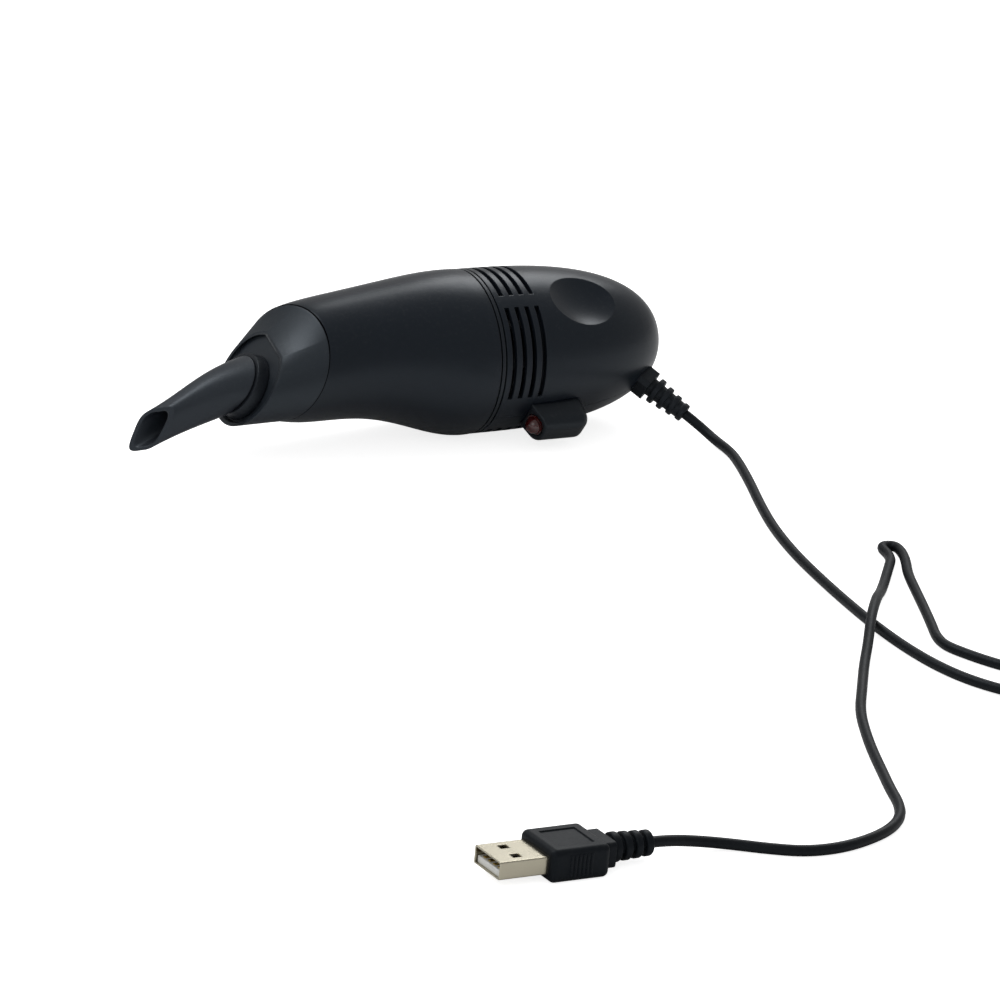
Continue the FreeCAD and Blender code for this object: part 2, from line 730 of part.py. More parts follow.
def make_collar():
    """The swivel collar, held in the face by its flange."""
    normal = face_frame()[1]
    middle = collar_centre()
    head_back = middle - normal * (FACE_RECESS - RUNNING_GAP)
    head_tall = FACE_RECESS - RUNNING_GAP + COLLAR_STAND
    head = Part.makeCone(COLLAR_RADIUS, COLLAR_RADIUS - COLLAR_TAPER, head_tall, head_back, normal)
    neck_back = middle - normal * (FACE_RECESS + FACE_PLATE + RUNNING_GAP)
    neck = Part.makeCylinder(COLLAR_NECK, FACE_PLATE + 2 * RUNNING_GAP, neck_back, normal)
    flange = Part.makeCylinder(COLLAR_FLANGE, COLLAR_FLANGE_THICKNESS, neck_back, normal * -1)
    collar = head.multiFuse([neck, flange])
    bore = Part.makeCylinder(COLLAR_BORE, BIG, middle - normal * BIG / 2, normal)
    return collar.cut(bore).removeSplitter()


def nozzle_section(centre, degrees, tall, thick, power):
    """A closed section of the nozzle in two halves, from round to a rounded bar, square to its dip."""
    half_count = 8
    dip = math.radians(degrees)
    up = Vector(math.sin(dip), 0, math.cos(dip))
    points = []
    for step in range(2 * half_count):
        angle = math.pi * step / half_count
        sine = math.sin(angle)
        cosine = math.cos(angle)
        rise = math.copysign(abs(cosine) ** (2 / power), cosine) * tall / 2
        side = math.copysign(abs(sine) ** (2 / power), sine) * thick / 2
        points.append(centre + up * rise + Y_AXIS * side)
    curve = Part.BSplineCurve()
    curve.interpolate(Points=points, PeriodicFlag=True)
    halfway = curve.parameter(points[half_count])
    first = curve.copy()
    first.segment(curve.FirstParameter, halfway)
    second = curve.copy()
    second.segment(halfway, curve.LastParameter)
    return Part.Wire([first.toShape(), second.toShape()])


NOZZLE_STEP_SHARES = (0.0, 0.29, 0.5, 0.74, 1.0)
NOZZLE_FLATTEN_SHARES = (0.0, 0.52, 0.78, 0.93, 1.0)
NOZZLE_POWERS = (2.0, 2.3, 2.8, 3.4, 4.0)


def nozzle_foot():
    """The middle of the nozzle's foot, just ahead of the collar."""
    normal = face_frame()[1]
    return collar_centre() + normal * (COLLAR_STAND + RUNNING_GAP)


def nozzle_ahead():
    """The way that the nozzle points."""
    droop = math.radians(NOZZLE_DROOP)
    return Vector(-math.cos(droop), 0, -math.sin(droop))


def nozzle_sections(inset, foot_inset):
    """The nozzle's sections, from its foot on the collar's plane to its tip."""
    wires = []
    foot = 2 * NOZZLE_FOOT_RADIUS
    for index, share in enumerate(NOZZLE_STEP_SHARES):
        dip = FACE_TILT if index == 0 else -NOZZLE_DROOP
        flatten = NOZZLE_FLATTEN_SHARES[index]
        wall = foot_inset if index == 0 else inset
        tall = foot + (NOZZLE_TIP_TALL - foot) * flatten - 2 * wall
        thick = foot + (NOZZLE_TIP_THICK - foot) * flatten - 2 * wall
        place = nozzle_foot() + nozzle_ahead() * (share * NOZZLE_LENGTH)
        wires.append(nozzle_section(place, dip, tall, thick, NOZZLE_POWERS[index]))
    return wires


def make_nozzle():
    """The crevice nozzle with its slanted mouth and the sleeve that plugs into the collar."""
    normal = face_frame()[1]
    foot = nozzle_foot()
    ahead = nozzle_ahead()
    sleeve_radius = COLLAR_BORE - RUNNING_GAP
    sleeve_bore = sleeve_radius - NOZZLE_WALL
    mouth_normal = ahead + Y_AXIS.cross(ahead) * NOZZLE_MOUTH_UP_SHARE - Y_AXIS * NOZZLE_MOUTH_NEAR_SHARE
    mouth_normal.normalize()
    mouth = half_space(foot + ahead * NOZZLE_MOUTH_AT, mouth_normal, BIG)
    outer = Part.makeLoft(nozzle_sections(0, 0), True, False)
    foot_inset = NOZZLE_FOOT_RADIUS - sleeve_bore - SLEEVE_STEP
    hollow = Part.makeLoft(nozzle_sections(NOZZLE_WALL, foot_inset), True, False)
    sleeve = Part.makeCylinder(sleeve_radius, SLEEVE_LENGTH, foot, normal * -1)
    sleeve = sleeve.cut(Part.makeCylinder(sleeve_bore, BIG, foot + normal * OVERRUN, normal * -1))
    behind = half_space(foot, normal * -1, BIG)
    return outer.cut(mouth).cut(hollow).cut(behind).fuse(sleeve)


def make_filter():
    """The filter's frame and its cloth, standing on the spigot's end."""
    seat = -SPIGOT_LENGTH
    base = seat - FILTER_FLANGE
    tip = base - FILTER_LENGTH
    flange = tube(FILTER_BASE_RADIUS - FILTER_RIB_THICKNESS, SPIGOT_RADIUS, base, seat)
    front = tube(FILTER_TIP_RADIUS / 2, FILTER_TIP_RADIUS, tip - FILTER_FLANGE, tip)
    outline = ((base, FILTER_BASE_RADIUS - FILTER_RIB_THICKNESS), (base, FILTER_BASE_RADIUS),
               (tip, FILTER_TIP_RADIUS), (tip, FILTER_TIP_RADIUS - FILTER_RIB_THICKNESS))
    ribs = []
    for rib in range(FILTER_RIB_COUNT):
        ribs.append(turned_profile(outline, FILTER_RIB_SWEEP, 360.0 * rib / FILTER_RIB_COUNT))
    frame = flange.multiFuse([front] + ribs)
    under = FILTER_RIB_THICKNESS + LAMP_GAP
    base_out = FILTER_BASE_RADIUS - under
    tip_out = FILTER_TIP_RADIUS - under
    cloth_outline = ((base, base_out - FILTER_CLOTH), (base, base_out),
                     (tip, tip_out), (tip, tip_out - FILTER_CLOTH))
    return frame.removeSplitter(), turned_profile(cloth_outline, 360, 0)


def at_angle(along, radius, angle):
    """A point on a circle about the X axis."""
    return Vector(along, radius * math.cos(angle), radius * math.sin(angle))


def make_fan():
    """The fan wheel: hub, back plate and curved blades."""
    hub = tube(SHAFT_RADIUS, FAN_HUB_RADIUS, FAN_FRONT + FAN_GAP, FAN_BACK)
    plate = tube(SHAFT_RADIUS, FAN_RADIUS, FAN_BACK - FAN_PLATE, FAN_BACK)
    parts = [plate]
    sweep = math.radians(FAN_BLADE_SWEEP)
    for blade in range(FAN_BLADES):
        outer_points = []
        inner_points = []
        for share in (0.0, 0.5, 1.0):
            radius = FAN_BLADE_INNER + (FAN_RADIUS - FAN_BLADE_INNER) * share
            angle = sweep * share ** FAN_BLADE_POWER
            half = FAN_BLADE_THICKNESS / 2 / radius
            outer_points.append(at_angle(FAN_FRONT, radius, angle + half))
            inner_points.append(at_angle(FAN_FRONT, radius, angle - half))
        edges = [Part.Arc(*outer_points).toShape(), Part.makeLine(outer_points[2], inner_points[2]),
                 Part.Arc(*inner_points).toShape(), Part.makeLine(inner_points[0], outer_points[0])]
        face = Part.Face(Part.Wire(Part.__sortEdges__(edges)))
        body = face.extrude(Vector(FAN_DEPTH - FAN_PLATE / 2, 0, 0))
        body.rotate(NOWHERE, X_AXIS, 360.0 * blade / FAN_BLADES)
        parts.append(body)
    return hub.multiFuse(parts).removeSplitter()


def make_motor():
    """The motor's still parts: case, end cap, magnets and terminals."""
    case = tube(0, MOTOR_RADIUS, MOTOR_FRONT, MOTOR_BACK)
    case = case.cut(tube(0, MOTOR_RADIUS - MOTOR_CASE, MOTOR_FRONT + MOTOR_CASE, MOTOR_BACK + OVERRUN))
    boss = tube(0, MOTOR_BOSS_RADIUS, MOTOR_FRONT - MOTOR_BOSS_HEIGHT, MOTOR_FRONT + MOTOR_CASE)
    bearing = tube(0, SHAFT_RADIUS + SHAFT_CLEARANCE, MOTOR_FRONT - BIG, MOTOR_FRONT + BIG)
    case = case.fuse(boss).cut(bearing)
    cap = tube(0, MOTOR_RADIUS, MOTOR_BACK, MOTOR_BACK + END_CAP_THICKNESS)
    cap_boss = tube(0, MOTOR_BOSS_RADIUS, MOTOR_BACK, MOTOR_BACK + END_CAP_THICKNESS + MOTOR_BOSS_HEIGHT)
    cap = cap.fuse(cap_boss).cut(bearing)
    terminals = []
    for side in (-1, 1):
        low = MOTOR_RADIUS / 2
        foot = MOTOR_BACK + END_CAP_THICKNESS
        terminals.append(block(foot, foot + TERMINAL_LENGTH, side * low - TERMINAL_THICKNESS / 2,
                               side * low + TERMINAL_THICKNESS / 2, -TERMINAL_WIDTH / 2, TERMINAL_WIDTH / 2))
    magnet_inner = ARMATURE_RADIUS + MAGNET_GAP
    start = MOTOR_FRONT + MOTOR_CASE + MOTOR_BOSS_HEIGHT
    stop = start + ARMATURE_LENGTH + 2 * MOTOR_BOSS_HEIGHT
    outline = ((start, magnet_inner), (stop, magnet_inner), (stop, MOTOR_RADIUS - MOTOR_CASE),
               (start, MOTOR_RADIUS - MOTOR_CASE))
    magnets = [turned_profile(outline, MAGNET_SWEEP, side * 180.0 - MAGNET_SWEEP / 2) for side in (0, 1)]
    plate = tube(MOTOR_BOSS_RADIUS, RING_RADIUS - WALL - RUNNING_GAP, MOTOR_PLATE_FRONT, MOTOR_FRONT)
    plate = plate.common(housing_form(WALL + RUNNING_GAP / 2))
    return case, cap, Part.makeCompound(terminals), Part.makeCompound(magnets), plate


def make_rotor():
    """The motor's turning parts: shaft and armature with its commutator."""
    shaft = tube(0, SHAFT_RADIUS, FAN_FRONT, MOTOR_BACK + END_CAP_THICKNESS + MOTOR_BOSS_HEIGHT + SHAFT_END)
    start = MOTOR_FRONT + MOTOR_CASE + 2 * MOTOR_BOSS_HEIGHT
    core = tube(SHAFT_RADIUS, ARMATURE_RADIUS, start, start + ARMATURE_LENGTH)
    slot = block(start - OVERRUN, start + ARMATURE_LENGTH + OVERRUN, -WALL / 2, WALL / 2,
                 COMMUTATOR_RADIUS + WALL, BIG)
    for pole in range(ARMATURE_POLES):
        cutter = slot.copy()
        cutter.rotate(NOWHERE, X_AXIS, 360.0 * pole / ARMATURE_POLES)
        core = core.cut(cutter)
    commutator = tube(SHAFT_RADIUS, COMMUTATOR_RADIUS, start + ARMATURE_LENGTH,
                      start + ARMATURE_LENGTH + COMMUTATOR_LENGTH)
    return shaft, core.fuse(commutator)


def make_inlet():
    """The plate with the air inlet, ahead of the fan."""
    start = HOUSING_FRONT + WEB_THICKNESS
    return tube(INLET_RADIUS, RING_RADIUS - WALL - WALL / 2, start, start + INLET_PLATE)


def make_board():
    """The board on its posts, and the resistor on it."""
    low = -BOARD_DEPTH - BOARD_THICKNESS
    board = block(BOARD_AT, BOARD_AT + BOARD_LENGTH, -BOARD_WIDTH / 2, BOARD_WIDTH / 2, low, -BOARD_DEPTH)
    along = BOARD_AT + (BOARD_LENGTH - RESISTOR_LENGTH) / 2
    start = Vector(along, BOARD_WIDTH / 4, -BOARD_DEPTH + RESISTOR_RADIUS)
    resistor = Part.makeCylinder(RESISTOR_RADIUS, RESISTOR_LENGTH, start, X_AXIS)
    return board, resistor


def make_switch():
    """The sliding knob with its stem, and the switch body under the housing."""
    low = RUNNING_GAP
    travel = SWITCH_TRAVEL
    knob = stadium(SWITCH_KNOB_LENGTH, SWITCH_KNOB_WIDTH, low, SWITCH_KNOB_HEIGHT)
    ridges = []
    pitch = SWITCH_KNOB_LENGTH / (SWITCH_RIDGES + 2)
    for ridge in range(SWITCH_RIDGES):
        at = (ridge - (SWITCH_RIDGES - 1) / 2) * pitch
        ridges.append(block(at - pitch / 4, at + pitch / 4, -SWITCH_KNOB_WIDTH / 3, SWITCH_KNOB_WIDTH / 3,
                            SWITCH_KNOB_HEIGHT - RUNNING_GAP, SWITCH_KNOB_HEIGHT + SWITCH_RIDGE_HEIGHT))
    half_stem = SWITCH_STEM / 2
    stem = block(-half_stem, half_stem, -half_stem, half_stem, -SWITCH_STEM_DEPTH, low + RUNNING_GAP)
    slider = knob.multiFuse(ridges + [stem])
    slider.translate(Vector(-travel / 2, 0, 0))
    top = -WALL
    body = switch_block(0)
    groove = block(-(SWITCH_STEM + travel) / 2 - RUNNING_GAP, (SWITCH_STEM + travel) / 2 + RUNNING_GAP,
                   -SWITCH_STEM / 2 - RUNNING_GAP, SWITCH_STEM / 2 + RUNNING_GAP,
                   -SWITCH_STEM_DEPTH - RUNNING_GAP, top + OVERRUN)
    pins = []
    half_pin = LEAD_THICKNESS / 2
    for index in (-1, 0, 1):
        at = index * SWITCH_PIN_PITCH
        pins.append(block(at - half_pin, at + half_pin, -half_pin, half_pin,
                          top - SWITCH_BODY_HEIGHT - SWITCH_PIN_LENGTH, top - SWITCH_BODY_HEIGHT))
    return slider.removeSplitter(), body.cut(groove), Part.makeCompound(pins)


def make_screws():
    """The screws that hold the halves together, entered from the far side."""
    screws = []
    for along, up in SCREW_PLACES:
        far_side = math.sqrt(max(housing_radius(along) ** 2 - up ** 2, WALL))
        seat = far_side - SCREW_SINK - SCREW_HEAD_HEIGHT
        tip = Vector(along, -SCREW_GRIP, up)
        shank = Part.makeCylinder(SCREW_RADIUS - LAMP_GAP, seat + SCREW_GRIP, tip, Y_AXIS)
        head = Part.makeCylinder(SCREW_HEAD_RADIUS, SCREW_HEAD_HEIGHT, Vector(along, seat, up), Y_AXIS)
        half_cross = SCREW_HEAD_RADIUS * SCREW_CROSS_SHARE
        half_slit = SCREW_RADIUS / 4
        low = seat + SCREW_HEAD_HEIGHT / 2
        high = seat + 2 * SCREW_HEAD_HEIGHT
        cross = [block(along - half_cross, along + half_cross, low, high, up - half_slit, up + half_slit),
                 block(along - half_slit, along + half_slit, low, high, up - half_cross, up + half_cross)]
        screws.append(shank.fuse(head).cut(cross[0]).cut(cross[1]))
    return Part.makeCompound(screws)


def ribbed_boot(block_shape, radius_from, radius_to, ribs, width, pitch, core_from, core_to, start):
    """A boot of ribs on a tapering core, along Z from start."""
    parts = []
    length = ribs * pitch
    parts.append(Part.makeCone(core_from, core_to, length, Vector(0, 0, start), Z_AXIS))
    for rib in range(ribs):
        share = rib / max(ribs - 1, 1)
        radius = radius_from + (radius_to - radius_from) * share
        at = start + rib * pitch + (pitch - width)
        disc = Part.makeCylinder(radius, width, Vector(0, 0, at), Z_AXIS)
        parts.append(disc.makeFillet(width / 4, disc.Edges[:1] + disc.Edges[2:3]))
    return block_shape.multiFuse(parts), start + length


def make_boot():
    """The strain relief on the housing, bored for the cord."""
    foot = boot_block(0, -BOOT_BLOCK_LENGTH / 2, BOOT_BLOCK_LENGTH)
    foot.Placement = Placement()
    boot, end = ribbed_boot(foot, BOOT_RIB_RADIUS, BOOT_END_RADIUS, BOOT_RIBS, BOOT_RIB_WIDTH,
                            BOOT_RIB_PITCH, BOOT_CORE + WALL / 4, BOOT_CORE, BOOT_BLOCK_LENGTH)
    boot.Placement = Placement(boot_base(), Rotation(Z_AXIS, boot_direction()))
    return boot, boot_base() + boot_direction() * end


def cord_tube(name, points):
    """A cord laid as straight runs joined by tangent arcs, through the corners of its route."""
    edges = []
    radii = []
    start = points[0]
    for index in range(1, len(points) - 1):
        before, corner, after = points[index - 1:index + 2]
        arriving = corner - before
        leaving = after - corner
        shorter = min(arriving.Length, leaving.Length)
        arriving.normalize()
        leaving.normalize()
        half_turn = arriving.getAngle(leaving) / 2
        setback = CORD_ARC_SHARE * shorter
        radii.append(setback / math.tan(half_turn))
        arc_start = corner - arriving * setback
        arc_end = corner + leaving * setback
        bisector = leaving - arriving
        bisector.normalize()
        inset = radii[-1] / math.cos(half_turn) - radii[-1]
        edges.append(Part.makeLine(start, arc_start))
        edges.append(Part.Arc(arc_start, corner + bisector * inset, arc_end).toShape())
        start = arc_end
    edges.append(Part.makeLine(start, points[-1]))
    path = Part.Wire(edges)
    heading = points[1] - points[0]
    heading.normalize()
    profile = Part.Wire([Part.makeCircle(CORD_RADIUS, points[0], heading)])
    solid = path.makePipeShell([profile], True, False)
    expected = path.Length * math.pi * CORD_RADIUS ** 2
    print("%s: length %.1f, volume ratio %.4f, radii %s" % (
        name, path.Length, solid.Volume / expected, " ".join("%.1f" % radius for radius in radii)))
    return solid, path.Length


def biarc(start, start_heading, end, end_heading):
    """Two arcs that join two points smoothly along given headings."""
    chord = end - start
    mean = start_heading + end_heading
    a = 2 * (1 - start_heading.dot(end_heading))
    b = 2 * chord.dot(mean)
    c = -chord.dot(chord)
    if abs(a) < TINY:
        reach = -c / b
    else:
        reach = (-b + math.sqrt(b * b - 4 * a * c)) / (2 * a)
    joint = (start + start_heading * reach + end - end_heading * reach) / 2
    joint_heading = end - end_heading * reach - start - start_heading * reach
    joint_heading.normalize()
    return [arc_from(start, start_heading, joint), arc_from(joint, joint_heading, end)]


def arc_from(start, heading, end):
    """An arc from a point along a heading to another point."""
    chord = end - start
    sideways = chord - heading * chord.dot(heading)
    if sideways.Length < TINY:
        return Part.makeLine(start, end)
    sideways.normalize()
    radius = chord.dot(chord) / (2 * chord.dot(sideways))
    centre = start + sideways * radius
    middle = (start + end) / 2 - centre
    middle.normalize()
    return Part.Arc(start, centre + middle * radius, end).toShape()


def coil_point(turn):
    """Where the coil's centreline is after a number of turns."""
    outer = COIL_INNER + COIL_PITCH * COIL_TURNS
    climb_end = COIL_TURNS + COIL_TURN_EXTRA
    floor_height = CORD_RADIUS + TIE_THICKNESS + TIE_GAP
    if turn < COIL_TURNS:
        radius = outer - COIL_PITCH * turn
        height = floor_height
    elif turn < climb_end:
        share = (turn - COIL_TURNS) / COIL_TURN_EXTRA
        radius = COIL_INNER - COIL_PITCH / 4 * math.sin(math.pi * share)
        height = floor_height + COIL_PITCH * (1 - math.cos(math.pi * share)) / 2
    else:
        radius = COIL_INNER + COIL_PITCH * (turn - climb_end)
        height = floor_height + COIL_PITCH
    angle = math.radians(COIL_FROM) + 2 * math.pi * turn
    return Vector(COIL_X + radius * math.cos(angle), COIL_Y + radius * math.sin(angle), height)


def coil_heading(turn):
    """Which way the coil's centreline runs after a number of turns."""
    heading = coil_point(turn + COIL_SMALL_SHARE) - coil_point(turn - COIL_SMALL_SHARE)
    heading.normalize()
    return heading


def make_coil():
    """The put-away length as one unbroken spiral, in and out again in two layers."""
    quarters = int(round((2 * COIL_TURNS + COIL_TURN_EXTRA) * 4))
    last = quarters / 4 + COIL_OVER_SHARE
    places = [quarter / 4 for quarter in range(quarters + 1)] + [last]
    edges = []
    start_heading = coil_heading(places[0])
    first = coil_point(places[0])
    lead_in = first - start_heading * CORD_DIAMETER
    edges.append(Part.makeLine(lead_in, first))
    for low, high in zip(places[:-1], places[1:]):
        edges += biarc(coil_point(low), coil_heading(low), coil_point(high), coil_heading(high))
    end_heading = coil_heading(last)
    lead_out = coil_point(last) + end_heading * CORD_DIAMETER
    edges.append(Part.makeLine(coil_point(last), lead_out))
    path = Part.Wire(edges)
    profile = Part.Wire([Part.makeCircle(CORD_RADIUS, lead_in, start_heading)])
    solid = path.makePipeShell([profile], True, False)
    report_coil_gap(last)
    expected = path.Length * math.pi * CORD_RADIUS ** 2
    print("coil length %.1f volume ratio %.4f" % (path.Length, solid.Volume / expected))
    return solid, lead_in, start_heading, lead_out, end_heading, path.Length


def report_coil_gap(last):
    """Print the least gap of the coil's tube to itself, measured on points along it."""
    steps = 40
    turns = [step / steps for step in range(int(last * steps) + 1)]
    points = [coil_point(turn) for turn in turns]
    least = BIG
    for index, point in enumerate(points):
        for other in range(index + steps // 2, len(points)):
            least = min(least, point.distanceToPoint(points[other]))
    print("least coil gap %.2f" % (least - CORD_DIAMETER))


def make_tie():
    """The strap round the coil's turns."""
    low_radius = COIL_INNER - CORD_RADIUS - TIE_GAP
    high_radius = COIL_INNER + COIL_PITCH * (COIL_TURNS + COIL_TURN_EXTRA) + CORD_RADIUS + TIE_GAP
    low = TIE_THICKNESS
    high = TIE_THICKNESS + 2 * TIE_GAP + CORD_DIAMETER + COIL_PITCH
    hole = block(low_radius, high_radius, -TIE_WIDTH, TIE_WIDTH, low, high)
    strap = block(low_radius - TIE_THICKNESS, high_radius + TIE_THICKNESS, -TIE_WIDTH / 2, TIE_WIDTH / 2,
                  0, high + TIE_THICKNESS)
    along = [edge for edge in strap.Edges if runs_along(edge, Y_AXIS)]
    strap = strap.makeFillet(TIE_THICKNESS, along)
    tie = strap.cut(hole)
    tie.rotate(NOWHERE, Z_AXIS, TIE_TURN)
    tie.translate(Vector(COIL_X, COIL_Y, 0))
    return tie


def at_plug(shape):
    """Place a shape of the plug, whose back is at zero and whose tip points along +X."""
    placed = shape.copy()
    placed.rotate(NOWHERE, Z_AXIS, 180.0 + PLUG_TURN)
    placed.translate(Vector(PLUG_AT_X, PLUG_AT_Y, PLUG_BODY_HEIGHT / 2))
    return placed


def rounded_block(x_low, x_high, width, height, corner):
    """A block about the X axis with rounded long edges and ends."""
    body = block(x_low, x_high, -width / 2, width / 2, -height / 2, height / 2)
    return body.makeFillet(corner, body.Edges)


def make_plug():
    """The plug: overmould, metal shell, tongue, contacts and boot."""
    length = PLUG_BODY_LENGTH
    body = rounded_block(0, length, PLUG_BODY_WIDTH, PLUG_BODY_HEIGHT, PLUG_CORNER)
    for side in (-1, 1):
        for ridge in range(GRIP_RIDGES):
            at = length / 2 + (ridge - (GRIP_RIDGES - 1) / 2) * GRIP_PITCH
            out = side * PLUG_BODY_WIDTH / 2
            rib = block(at - GRIP_RIDGE_WIDTH / 2, at + GRIP_RIDGE_WIDTH / 2,
                        out - GRIP_HEIGHT, out + GRIP_HEIGHT,
                        -PLUG_BODY_HEIGHT / 2 + PLUG_CORNER, PLUG_BODY_HEIGHT / 2 - PLUG_CORNER)
            body = body.fuse(rib)
    half_frame = PLUG_BODY_WIDTH / 2 - 2 * PLUG_CORNER
    frame_out = block(PLUG_CORNER + WALL, length - PLUG_CORNER - WALL, -half_frame, half_frame,
                      PLUG_BODY_HEIGHT / 2 - PLUG_FRAME, PLUG_BODY_HEIGHT)
    body = body.cut(frame_out)
    seat_start = length - SHELL_SEAT
    half_wide = SHELL_WIDTH / 2
    half_high = SHELL_HEIGHT / 2
    seat = block(seat_start, length + OVERRUN, -half_wide, half_wide, -half_high, half_high)
    body = body.cut(seat)
    half_neck = PLUG_NECK_WIDTH / 2
    neck = block(-PLUG_NECK, PLUG_CORNER + OVERRUN, -half_neck, half_neck,
                 -PLUG_NECK_HEIGHT / 2, PLUG_NECK_HEIGHT / 2)
    along = [edge for edge in neck.Edges if runs_along(edge, X_AXIS)]
    neck = neck.makeFillet(PLUG_NECK_ROUND, along)
    body = body.fuse(neck)
    core = Part.makeCylinder(PLUG_BOOT_CORE, GRIP_HEIGHT, Vector(0, 0, PLUG_NECK - GRIP_HEIGHT), Z_AXIS)
    pitch = PLUG_BOOT_LENGTH / PLUG_BOOT_RINGS
    boot, end = ribbed_boot(core, PLUG_BOOT_RADIUS, PLUG_BOOT_END, PLUG_BOOT_RINGS,
                            PLUG_BOOT_RING_WIDTH, pitch, PLUG_BOOT_CORE, CORD_RADIUS + WALL / 4, PLUG_NECK)
    boot.rotate(NOWHERE, Y_AXIS, -90)
    body = body.fuse(boot)
    tip = seat_start + SHELL_SEAT + SHELL_LENGTH
    shell = block(seat_start, tip, -half_wide, half_wide, -half_high, half_high)
    edges = [edge for edge in shell.Edges if runs_along(edge, X_AXIS)]
    shell = shell.makeFillet(SHELL_METAL, edges)
    inner_wide = half_wide - SHELL_METAL
    inner_high = half_high - SHELL_METAL
    hollow = block(seat_start + SHELL_METAL, tip + OVERRUN, -inner_wide, inner_wide, -inner_high, inner_high)
    shell = shell.cut(hollow)
    for side in (-1, 1):
        at = length + WINDOW_FROM_BACK
        window = block(at, at + WINDOW_LENGTH, side * WINDOW_SPREAD - WINDOW_WIDTH / 2,
                       side * WINDOW_SPREAD + WINDOW_WIDTH / 2, -SHELL_HEIGHT, SHELL_HEIGHT)
        shell = shell.cut(window)
    tongue_high = -inner_high + TONGUE_HEIGHT
    half_tongue = inner_wide - SHELL_METAL
    tongue = block(seat_start + SHELL_METAL, tip - TONGUE_SHORT, -half_tongue, half_tongue,
                   -inner_high, tongue_high)
    contacts = []
    for index in range(CONTACT_COUNT):
        at = (index - (CONTACT_COUNT - 1) / 2) * CONTACT_PITCH
        contacts.append(block(tip - TONGUE_SHORT * 2 - CONTACT_LENGTH, tip - TONGUE_SHORT * 2,
                              at - CONTACT_WIDTH / 2, at + CONTACT_WIDTH / 2,
                              tongue_high, tongue_high + CONTACT_HEIGHT))
    return body, shell, tongue, Part.makeCompound(contacts), Vector(-end, 0, 0)


def make_wires():
    """The two lead wires, from the board to the motor's terminals."""
    board_end = BOARD_AT + BOARD_LENGTH
    terminal_x = MOTOR_BACK + END_CAP_THICKNESS + TERMINAL_LENGTH / 2
    low = -BOARD_DEPTH + WIRE_RADIUS
    round_motor = MOTOR_RADIUS + 2 * WIRE_RADIUS
    raised = -math.sqrt(round_motor ** 2 - WIRE_SPREAD ** 2)
    wires = []
    for side in (-1, 1):
        near_terminal = side * (MOTOR_RADIUS / 2 + TERMINAL_THICKNESS / 2 + WIRE_RADIUS)
        route = [Vector(board_end - WALL, side * BOARD_POST_SPREAD, low),
                 Vector(board_end + WALL / 2, side * BOARD_POST_SPREAD, low),
                 Vector(board_end + 2 * WALL, side * WIRE_SPREAD, raised),
                 Vector(terminal_x + WIRE_RADIUS, side * WIRE_SPREAD, raised),
                 Vector(terminal_x + WIRE_RADIUS, near_terminal, 0)]
        wires.append(wire_solid(route))
    return Part.makeCompound(wires)


def wire_solid(route):
    """A thin wire with a round bend at each corner."""
    edges = []
    start = route[0]
    for before, corner, after in zip(route[:-2], route[1:-1], route[2:]):
        arriving = corner - before
        leaving = after - corner
        shorter = min(arriving.Length, leaving.Length)
        arriving.normalize()
        leaving.normalize()
        half_turn = arriving.getAngle(leaving) / 2
        setback = shorter / 3
        radius = setback / math.tan(half_turn)
        bisector = leaving - arriving
        bisector.normalize()
        middle = corner + bisector * (radius / math.cos(half_turn) - radius)
        edges.append(Part.makeLine(start, corner - arriving * setback))
        edges.append(Part.Arc(corner - arriving * setback, middle, corner + leaving * setback).toShape())
        start = corner + leaving * setback
    edges.append(Part.makeLine(start, route[-1]))
    path = Part.Wire(edges)
    heading = route[1] - route[0]
    profile = Part.Wire([Part.makeCircle(WIRE_RADIUS, route[0], heading)])
    return path.makePipeShell([profile], True, False)


CORD_TO_COIL = (
    (84.8, -30.0, 1.8), (84.4, -39.4, 1.4), (81.2, -49.3, 1.4), (75.2, -64.8, 1.4), (68.2, -81.3, 1.4),
    (61.2, -99.8, 1.4), (55.7, -119.3, 1.4), (51.7, -138.8, 1.4), (48.3, -158.8, 1.4),
    (45.9, -176.8, 1.4), (45.0, -192.8, 1.4), (45.7, -206.3, 1.4), (48.5, -217.8, 1.4),
    (54.2, -228.8, 1.6), (61.3, -239.2, 2.0))
CORD_TO_PLUG = (
    (76.5, -219.0, 4.6), (71.2, -217.6, 2.4), (65.0, -213.2, 1.4), (60.9, -206.1, 1.4),
    (57.9, -198.2, 1.4), (56.3, -192.1, 1.4), (57.7, -185.8, 1.4), (61.5, -177.8, 1.4),
    (66.2, -167.4, 1.4), (71.6, -155.0, 1.4), (77.6, -141.2, 1.4), (82.5, -132.8, 1.4),
    (85.6, -126.3, 1.4), (87.0, -120.4, 1.4), (82.2, -119.6, 1.4), (80.6, -128.6, 1.4),
    (75.1, -135.6, 1.4), (67.0, -146.0, 1.4), (60.2, -154.6, 2.4), (52.3, -164.4, 5.2),
    (42.6, -177.0, 5.2), (35.5, -187.3, 2.4), (27.3, -198.4, 1.4), (16.8, -213.9, 1.4),
    (6.9, -228.4, 1.4), (-1.0, -244.1, 1.4), (-6.5, -256.3, 1.4), (-11.1, -267.4, 1.4),
    (-15.1, -276.8, 1.4), (-18.7, -286.6, 1.4), (-23.3, -294.4, 1.4), (-30.3, -300.6, 1.4),
    (-39.6, -305.0, 1.4), (-49.3, -307.4, 1.4), (-58.6, -306.8, 1.4), (-66.3, -302.6, 1.4),
    (-73.7, -297.6, 1.5), (-82.0, -295.4, 2.4))


